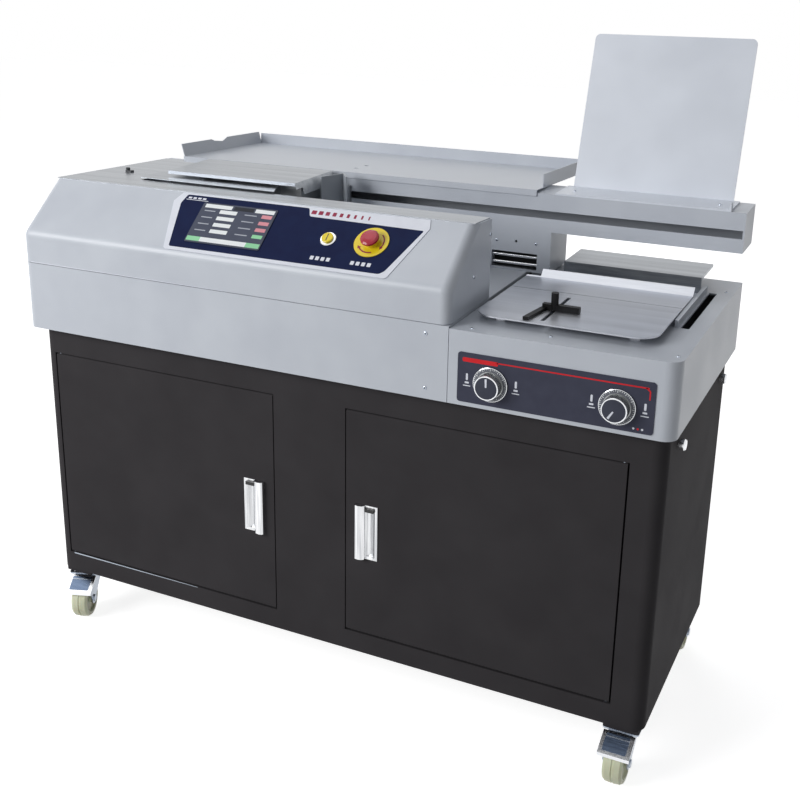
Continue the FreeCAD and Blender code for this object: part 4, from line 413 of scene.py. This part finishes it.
def make_panel_print():
    """Navy field on the white film, with small plain squares: one row over a rule, two at the foot."""
    bm = bmesh.new()
    field = [(283, 107), (289, 127), (535.6, 126.6), (543.1, 109.5), (754, 106.5), (717, 18.7), (709, 11.6),
             (305.5, 11.6)]
    white = 1
    pitch = 10
    add_plate(bm, field, PANEL_FACE, FIELD_FACE, SLOPE_FRAME, corner=3)
    add_mark(bm, 290, 115.6, 46, 1.2, FIELD_FACE, SLOPE_FRAME, white)
    for step in range(4):
        add_mark(bm, 293 + pitch * step, 118.6, 7, 3.8, FIELD_FACE, SLOPE_FRAME, white, 0.8)
    for first in (579, 653):
        for step in range(4):
            add_mark(bm, first + pitch * step, 22.5, 6.5, 7.5, FIELD_FACE, SLOPE_FRAME, white, 1)
    piece_from(bm, "panel_print", "machine", "panel_film", navy_film, white_film)


def make_banner_marks():
    """Nine marks along the panel's top, narrower one by one to the right."""
    bm = bmesh.new()
    for step in range(9):
        width = 9.4 - 0.85 * step
        centre = 548 + 12.9 * step
        add_mark(bm, centre - width / 2, 115, width, 8, PANEL_FACE, SLOPE_FRAME, corner=0.8)
    piece_from(bm, "banner_marks", "machine", "panel_film", maroon_film)


def make_display_page():
    """Dark page with three tabs along its top, four rows of labels and boxes, and a bar along its foot."""
    bm = bmesh.new()
    screen = slope_place("touch_screen", 0)
    page_face = SCREEN_FACE + INK
    white, pink, green, black, grey_ink = range(1, 6)
    add_mark(bm, 2, 2, 146, 84.5, SCREEN_FACE, screen, corner=1)
    for left, width, ink in ((6, 55, white), (65, 40, black), (108, 38, white)):
        add_mark(bm, left, 77, width, 8, page_face, screen, ink)
    for row in range(4):
        low = 66.5 - 14.4 * row
        add_mark(bm, 40, low, 35, 8, page_face, screen, white, 0.8)
        add_mark(bm, 125, low, 20, 7.5, page_face, screen, pink if row < 3 else green, 0.8)
        for left, width in ((9, 22), (91, 24)):
            add_mark(bm, left, low + 2.6, width, 2, page_face, screen, grey_ink)
    for left, width, ink in ((2, 27, green), (29, 92, white), (121, 27, green)):
        add_mark(bm, left, 3, width, 9.5, page_face, screen, ink)
    piece_from(bm, "display_page", "machine", "screen_glass", page_slate, page_white, page_pink, page_green,
               page_black, page_grey)


def arc(radius, angles):
    return [(radius * math.cos(math.radians(a)), radius * math.sin(math.radians(a))) for a in angles]


def make_stop_arrows():
    """Three arrows on the disc round the stop button, each an arc with a pointed head."""
    bm = bmesh.new()
    band = arc(23, range(0, 71, 10)) + arc(20.6, range(70, -1, -10))
    head = [(18.4, 0), (25.2, 0), (22.2, -6)]
    for step in range(3):
        place = turned(slope_place("stop_plate", 0.5), 120 * step - 20)
        for outline in (band, head):
            add_plate(bm, outline, DISC_FACE, DISC_FACE + FILM, place)
    piece_from(bm, "stop_arrows", "machine", "red_plastic", maroon_film)


def make_start_mark():
    """A bar across the start button's face."""
    bm = bmesh.new()
    add_block(bm, -0.8, -7, 0.8, 7, START_FACE, START_FACE + FILM, slope_place("start_button", 0.5), 0, 0.5)
    piece_from(bm, "start_mark", "start_key", "black_plastic", black_abs)


make_panel_print()
make_banner_marks()
make_display_page()
make_stop_arrows()
make_start_mark()


# Dials and their panel
def on_dial_panel(across, up):
    return facing(at(across, edge("dial_panel", LOW, Y), up), ACROSS, UP)


def dial_middle(side):
    return on_dial_panel(middle(side + "_dial", X), middle(side + "_dial", Z))


def add_fluted(bm, foot, top, height, flutes, depth, place, slot):
    """A tapered knob whose every second edge is drawn in by a share of its radius."""
    before = set(bm.verts)
    sides = 2 * flutes
    bmesh.ops.create_cone(bm, cap_ends=True, segments=sides, radius1=foot * MM, radius2=top * MM,
                          depth=height * MM)
    for vert in [v for v in bm.verts if v not in before]:
        if round(math.atan2(vert.co.y, vert.co.x) / math.tau * sides) % 2:
            vert.co.x *= 1 - depth
            vert.co.y *= 1 - depth
    settle(bm, before, place, slot)


def make_dial(side, turn):
    """Skirt with a scale ring, a fluted knob with a bright rim, and a dark face with a white pointer."""
    centre = dial_middle(side)
    bm = bmesh.new()
    satin, scale, bright, dark, white, tick = range(6)
    marks = 48
    add_turned(bm, [(0, 0.6), (27.2, 0.6), (28, 1.4), (27.4, 2.6), (22.0, 3.2), (0, 3.2)], centre, satin, 96)
    for step in range(marks):
        inner = 23.2 if step % 4 == 0 else 24.8
        add_block(bm, inner, -0.5, 26.6, 0.5, 2.5, 3.45, turned(centre, 360 * step / marks), tick)
    add_turned(bm, [(26.8, 2.4), (27.2, 2.9), (27.9, 2.6), (28, 1.6), (26.8, 2.4)], centre, bright, 96)
    add_turned(bm, [(21.4, 2.6), (26.9, 2.35), (26.9, 2.8), (21.4, 3.35), (21.4, 2.6)], centre, scale, 96)
    add_fluted(bm, 20.4, 19.4, 15.6, 56, 0.035, shifted(centre, out=11), satin)
    add_turned(bm, [(17.4, 18.4), (19.6, 18.4), (19.9, 19.2), (19.6, 20.2), (18.9, 20.75), (18.1, 20.7),
                    (17.6, 20.2), (17.4, 18.4)], centre, bright, 96)
    add_turned(bm, [(0, 18.6), (17.6, 18.6), (17.6, 19.9), (16.4, 20.2), (0, 20.2)], centre, dark, 64)
    pointer = [(-1.3, 1.5), (1.3, 1.5), (1.7, 15.4), (-1.7, 15.4)]
    add_plate(bm, pointer, 20.2, 20.5, turned(centre, turn), white, 0.6)
    knob = piece_from(bm, side + "_dial_knob", side + "_knob", "knob_plastic", scale_chrome, scale_face,
                      chrome_plate, dial_abs, white_film, page_white, smooth=True)
    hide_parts(side + "_dial")


def make_dial_panel_print():
    """Red tab and stripe with a hooked end, plain white marks beside each dial, three small dots."""
    bm = bmesh.new()
    panel = on_dial_panel(edge("dial_panel", LOW, X), edge("dial_panel", LOW, Z))
    red, white = 0, 1
    ink = 0.12
    hook = [(294, 73.2), (300.5, 68), (300.5, 54), (298.5, 54), (298.5, 67), (292.5, 71.4)]
    add_block(bm, 8, 67, 66, 74, 0, ink, panel, red, 2)
    add_block(bm, 64, 71, 298, 73.2, 0, ink, panel, red)
    add_plate(bm, hook, 0, ink, panel, red, 0.8)
    for side in ("left", "right"):
        for offset in (-39, 41):
            spot = shifted(dial_middle(side), offset)
            add_block(bm, -1.7, 1, 1.7, 12, 0, ink, spot, white, 1.2)
            add_block(bm, -3.4, -4.5, 3.4, -1.5, 0, ink, spot, white, 0.8)
            add_block(bm, -6, -9, 6, -7.4, 0, ink, spot, white)
    for step, shade in enumerate((white, red, white)):
        dot = shifted(panel, 279 + 6.5 * step, 6.5)
        add_turned(bm, [(0, 0), (1.7, 0), (1.7, ink), (0, ink)], dot, shade, 16)
    piece_from(bm, "dial_panel_print", "machine", "panel_film", red_film, white_film)


make_dial("left", 2)
make_dial("right", 148)
make_dial_panel_print()


# Pan-head screws with a black cross of painted shade for the recess
def make_screws(name, places, radius=3.4):
    bm = bmesh.new()
    head = [(0, 0), (radius, 0), (radius * 0.92, 0.9), (radius * 0.6, 1.5), (0, 1.75)]
    arm = radius * 0.55
    for place in places:
        add_turned(bm, head, place, 0, 20)
        for turn in (0.4, 0.4 + math.pi / 2):
            add_block(bm, -arm, -0.4, arm, 0.4, 1.2, 1.82, turned(place, math.degrees(turn)), 1)
    piece_from(bm, name, "machine", "zinc_steel", zinc_plate, black_abs, smooth=True)


def on_front(across, back, up):
    return facing(at(across, back, up), ACROSS, UP)


def on_top(across, back, up):
    return facing(at(across, back, up), ACROSS, BACK)


def on_side(across, back, up):
    return facing(at(across, back, up), BACK, UP)


REST_SHEET = 3
TABLE_TOP = edge("cover_plate", LOW, Z)
REST_FOOT = edge("book_rest", LOW, Z) + REST_SHEET
POST_FRONT = edge("beam_post_right", LOW, Y)
make_screws("apron_screws", [on_front(796, HOOD_FRONT, 622), on_front(797, HOOD_FRONT, 531)])
make_screws("hood_side_screws", [on_side(HOOD_RIGHT, 151, 750), on_side(HOOD_RIGHT, 82, 694)])
TABLE_SCREWS = ((867, -2), (1180, 12), (1178, 386), (988, 15))
make_screws("table_top_screws", [on_top(x, y, TABLE_TOP) for x, y in TABLE_SCREWS], 2.8)
make_screws("post_screws", [on_front(x, POST_FRONT, 692) for x in (776, 850)], 2.6)
make_screws("rest_screws", [on_top(x, 379, REST_FOOT) for x in (905, 1155)], 2.6)


# Small pieces of the post, the clamp, the channel, the deck and the cover table
def make_post_guide_rods():
    """Behind the window in the right post: a black wall of painted shade and two bright rods."""
    bm = bmesh.new()
    left, right, foot, top = [edge("beam_post_right", corner, axis)
                              for corner, axis in ((LOW, X), (HIGH, X), (LOW, Z), (HIGH, Z))]
    inset = 2.5
    length = right - left - 2 * inset
    add_block(bm, left + 4, foot + 2, right - 4, top - 2, 0, 1.2, on_front(0, POST_FRONT + 27, 0))
    for level in (foot + 12, foot + 26):
        add_turned(bm, [(0, 0), (3, 0), (3, length), (0, length)],
                   on_side(left + inset, POST_FRONT + 8, level), 1, 20)
    piece_from(bm, "post_guide_rods", "machine", "chrome", painted_shade_black, chrome_plate, smooth=True)


def make_jaw_apron():
    """Folded stainless sheet on the front jaw, which closes the deck's opening before the parked clamp."""
    bm = bmesh.new()
    jaw_face = edge("front_jaw", LOW, Y)
    left, fold_left, fold_right, front_right = 128, 152, 396, 420
    front = OPENING_FRONT + 2
    sheet = [(left, front), (front_right, front), (fold_right, jaw_face), (left, jaw_face)]
    add_plate(bm, sheet, 780.4, 781.1, FLAT)
    add_block(bm, fold_left, jaw_face - 1.5, fold_right, jaw_face, 760, 781, FLAT)
    piece_from(bm, "jaw_apron", "clamp_jaw", "stainless", stainless_long)


def make_rear_guard():
    """Painted sheet that closes the channel's rear, folded forward at top and foot, with its screws."""
    bm = bmesh.new()
    left, right, rear, top = 130.5, 758, 459.2, 720
    foot = edge("base_skirt", HIGH, Z)
    sheet = 1.2
    add_block(bm, left, rear - sheet, right, rear, foot, top, FLAT)
    for low in (top - sheet, foot):
        add_block(bm, left, rear - 13.2, right, rear - 1, low, low + sheet, FLAT)
    piece_from(bm, "rear_guard", "machine", "grey_paint", pale_enamel)
    places = [facing(at(x, rear, z), -ACROSS, UP) for x in (150, 445, 740) for z in (650, 708)]
    make_screws("guard_screws", places, 2.8)


def make_deck_catch():
    """Small black catch with a round button on the deck's left end."""
    bm = bmesh.new()
    foot = 3.5
    add_block(bm, 42, 66, 58, 75, 0, foot, DECK, corner=2)
    button = [(0, foot), (4.2, foot), (4.2, 7.5), (3.4, 8.5), (0, 8.5)]
    add_turned(bm, button, shifted(DECK, 46, 70.5), 0, 24)
    piece_from(bm, "deck_catch", "machine", "black_plastic", black_abs, smooth=True)


def make_table_gap_shade():
    """Black strip of painted shade in the gap beside the hood's right end, under the cover table's top."""
    bm = bmesh.new()
    add_block(bm, HOOD_RIGHT + 0.6, 155.5, HOOD_RIGHT + 8.4, 458.5, 618, 634, FLAT)
    piece_from(bm, "table_gap_painted_shade", "machine", "black_plastic", painted_shade_black)


make_post_guide_rods()
make_jaw_apron()
make_rear_guard()
make_deck_catch()
make_table_gap_shade()


# Door pulls, pedals and painted highlights on the cabinet
def make_pull_liner(side, inset):
    """Scooped bright hollow beside a door pull's grip, with a black block of painted shade over it where the
    hollow is deep.
    """
    bm = bmesh.new()
    handle = side + "_door_handle"
    start = edge(handle, LOW, X) + inset
    foot, notch = edge(handle, LOW, Z) + 4, edge(handle, HIGH, Z) - 11
    width, rear, front, steps = 18.5, 9, -5, 8
    scoop = [(start + width * step / steps, front + 6.5 * math.sin(math.pi * step / steps))
             for step in range(steps + 1)]
    add_plate(bm, [(start + width, rear), (start, rear)] + scoop, foot, notch, FLAT)
    add_block(bm, start, front - 1, start + width, rear, notch, notch + 6, FLAT, 1)
    piece_from(bm, side + "_pull_liner", side + "_door", "chrome", liner_chrome, painted_shade_black, smooth=True)


def make_pedal_tread(corner, turn):
    """Blued plate on a brake pedal, with a bright rib across it."""
    bm = bmesh.new()
    plate = corner + "_caster_plate"
    swivel = turned(Matrix.Translation(at(middle(plate, X), middle(plate, Y), 0)), turn)
    tread = swivel @ facing(Vector((0, -31, -13.6)) * MM, ACROSS, Vector((0, 39, 18)).normalized())
    left, right = -20, 19
    add_block(bm, left, -37, right, -4, -0.2, 0.35, tread, 0, 2.5)
    add_block(bm, left, -12, right, -9.5, 0.3, 0.9, tread, 1)
    piece_from(bm, corner + "_pedal_tread", corner + "_pedal", "zinc_steel", blue_zinc, zinc_plate)


def make_seam_highlight():
    """Painted highlight along the seam between base and hood: a light strip thinning to the right."""
    bm = bmesh.new()
    low = edge("hood_cover", LOW, Z) + 0.3
    outline = [(-1, low), (-1, low + 1.6), (420, low + 0.6), (420, low)]
    add_plate(bm, outline, 0, 0.4, on_front(0, HOOD_FRONT, 0))
    piece_from(bm, "seam_painted_highlight", "machine", "grey_paint", white_film)


def make_left_door_highlight():
    """Painted highlight: a bright strip along the lit lip under the left door."""
    bm = bmesh.new()
    add_plate(bm, [(34, 36.2), (34, 38.6), (330, 38.2), (330, 37.4)], 0, 0.5, CABINET_FRONT)
    piece_from(bm, "left_door_painted_highlight", "machine", "zinc_steel", zinc_plate)


make_pull_liner("left", 5.5)
make_pull_liner("right", 17.5)
for corner, turn in CASTER_TURNS.items():
    make_pedal_tread(corner, turn)
make_seam_highlight()
make_left_door_highlight()


# Camera, fitted to the photograph's straight edges
PHOTO_WIDTH = 800
FOCAL_LENGTH_IN_PIXELS = 1196.8
SENSOR_WIDTH = 36
YAW, PITCH = math.radians(27.54), math.radians(18.04)
camera_data = bpy.data.cameras.new("camera")
camera = bpy.data.objects.new("camera", camera_data)
bpy.context.scene.collection.objects.link(camera)
bpy.context.scene.camera = camera
camera_data.sensor_width = SENSOR_WIDTH
camera_data.lens = SENSOR_WIDTH * FOCAL_LENGTH_IN_PIXELS / PHOTO_WIDTH
camera_data.shift_x = 0.075
camera_data.shift_y = -0.0875
camera_data.clip_end = 50
look = Vector((-math.sin(YAW) * math.cos(PITCH), math.cos(YAW) * math.cos(PITCH), -math.sin(PITCH)))
camera.location = at(1501, -1660, 1208)
camera.rotation_euler = look.to_track_quat("-Z", "Y").to_euler()


# Lights: places, targets and sizes in metres, power in watts
def area_light(name, place, target, size, power):
    data = bpy.data.lights.new(name, "AREA")
    data.shape = "RECTANGLE"
    data.size, data.size_y = size
    data.energy = power
    lamp = bpy.data.objects.new(name, data)
    bpy.context.scene.collection.objects.link(lamp)
    lamp.location = place
    lamp.rotation_euler = (Vector(target) - Vector(place)).to_track_quat("-Z", "Y").to_euler()
    return lamp


area_light("key_softbox", place=(-2.4, -3.2, 2.3), target=(0, 0, 0.6), size=(2.4, 1.8), power=124)
area_light("fill_softbox", place=(2.8, -2.6, 1.8), target=(0, 0, 0.6), size=(2.0, 2.0), power=0.5)
area_light("top_softbox", place=(-0.7, 0.3, 3.4), target=(0, 0, 0.8), size=(2.6, 2.0), power=17)
# The rear lamp lifts the back's shade and leaves no glare on the tray
rear_lamp = area_light("rear_softbox", place=(-1.6, 3.4, 1.5), target=(0, 0, 0.5), size=(2.2, 1.8), power=34)
rear_lamp.visible_glossy = False

# Studio: white to the camera and in mirror images, dim grey where it lights the machine
STUDIO_LIGHT = 0.27
PAPER_GLOW = 0.82
FLOOR_HALF_WIDTH_IN_METRES = 9


def seen_white(material):
    """One for camera, glossy and transmission rays, and nothing for the rays that carry light."""
    rays = node(material, "LightPath")
    looked_at = node(material, "Math", {
        0: rays.outputs["Is Camera Ray"], 1: rays.outputs["Is Glossy Ray"]}, operation="MAXIMUM")
    either = node(material, "Math", {
        0: looked_at.outputs[0], 1: rays.outputs["Is Transmission Ray"]}, operation="MAXIMUM")
    return either.outputs[0]


world = bpy.data.worlds.new("studio")
bpy.context.scene.world = world
world.use_nodes = True
world.node_tree.nodes.clear()
studio_grey = node(world, "Background", {"Color": colour("#E9EBEE"), "Strength": STUDIO_LIGHT})
studio_white = node(world, "Background", {"Color": colour("#FFFFFF"), "Strength": 1.0})
both = node(world, "MixShader", {
    0: seen_white(world), 1: studio_grey.outputs[0], 2: studio_white.outputs[0]})
node(world, "OutputWorld", {"Surface": both.outputs[0]})

# Matt white paper sweep: it keeps the soft shadow, and where it is lit the camera sees plain white
paper_material = new_material("white_paper_sweep")
fibre = object_grain(paper_material, 3).outputs[0]
paper = node(paper_material, "BsdfPrincipled", {
    "Base Color": ramp(paper_material, fibre, colour("#CDCDCD"), colour("#D3D3D3")),
    "Roughness": 0.9, "Specular IOR Level": 0.2})
glow = node(paper_material, "Emission", {"Color": colour("#FFFFFF"), "Strength": PAPER_GLOW})
lit = node(paper_material, "AddShader", {0: paper.outputs[0], 1: glow.outputs[0]})
finish_material(paper_material, node(paper_material, "MixShader", {
    0: seen_white(paper_material), 1: paper.outputs[0], 2: lit.outputs[0]}))
floor_mesh = bpy.data.meshes.new("studio_floor")
bm = bmesh.new()
bmesh.ops.create_grid(bm, x_segments=4, y_segments=4, size=FLOOR_HALF_WIDTH_IN_METRES)
bm.to_mesh(floor_mesh)
bm.free()
studio_floor = bpy.data.objects.new("studio_floor", floor_mesh)
bpy.context.scene.collection.objects.link(studio_floor)
floor_mesh.materials.append(paper_material)

bpy.context.scene.view_settings.view_transform = "Standard"
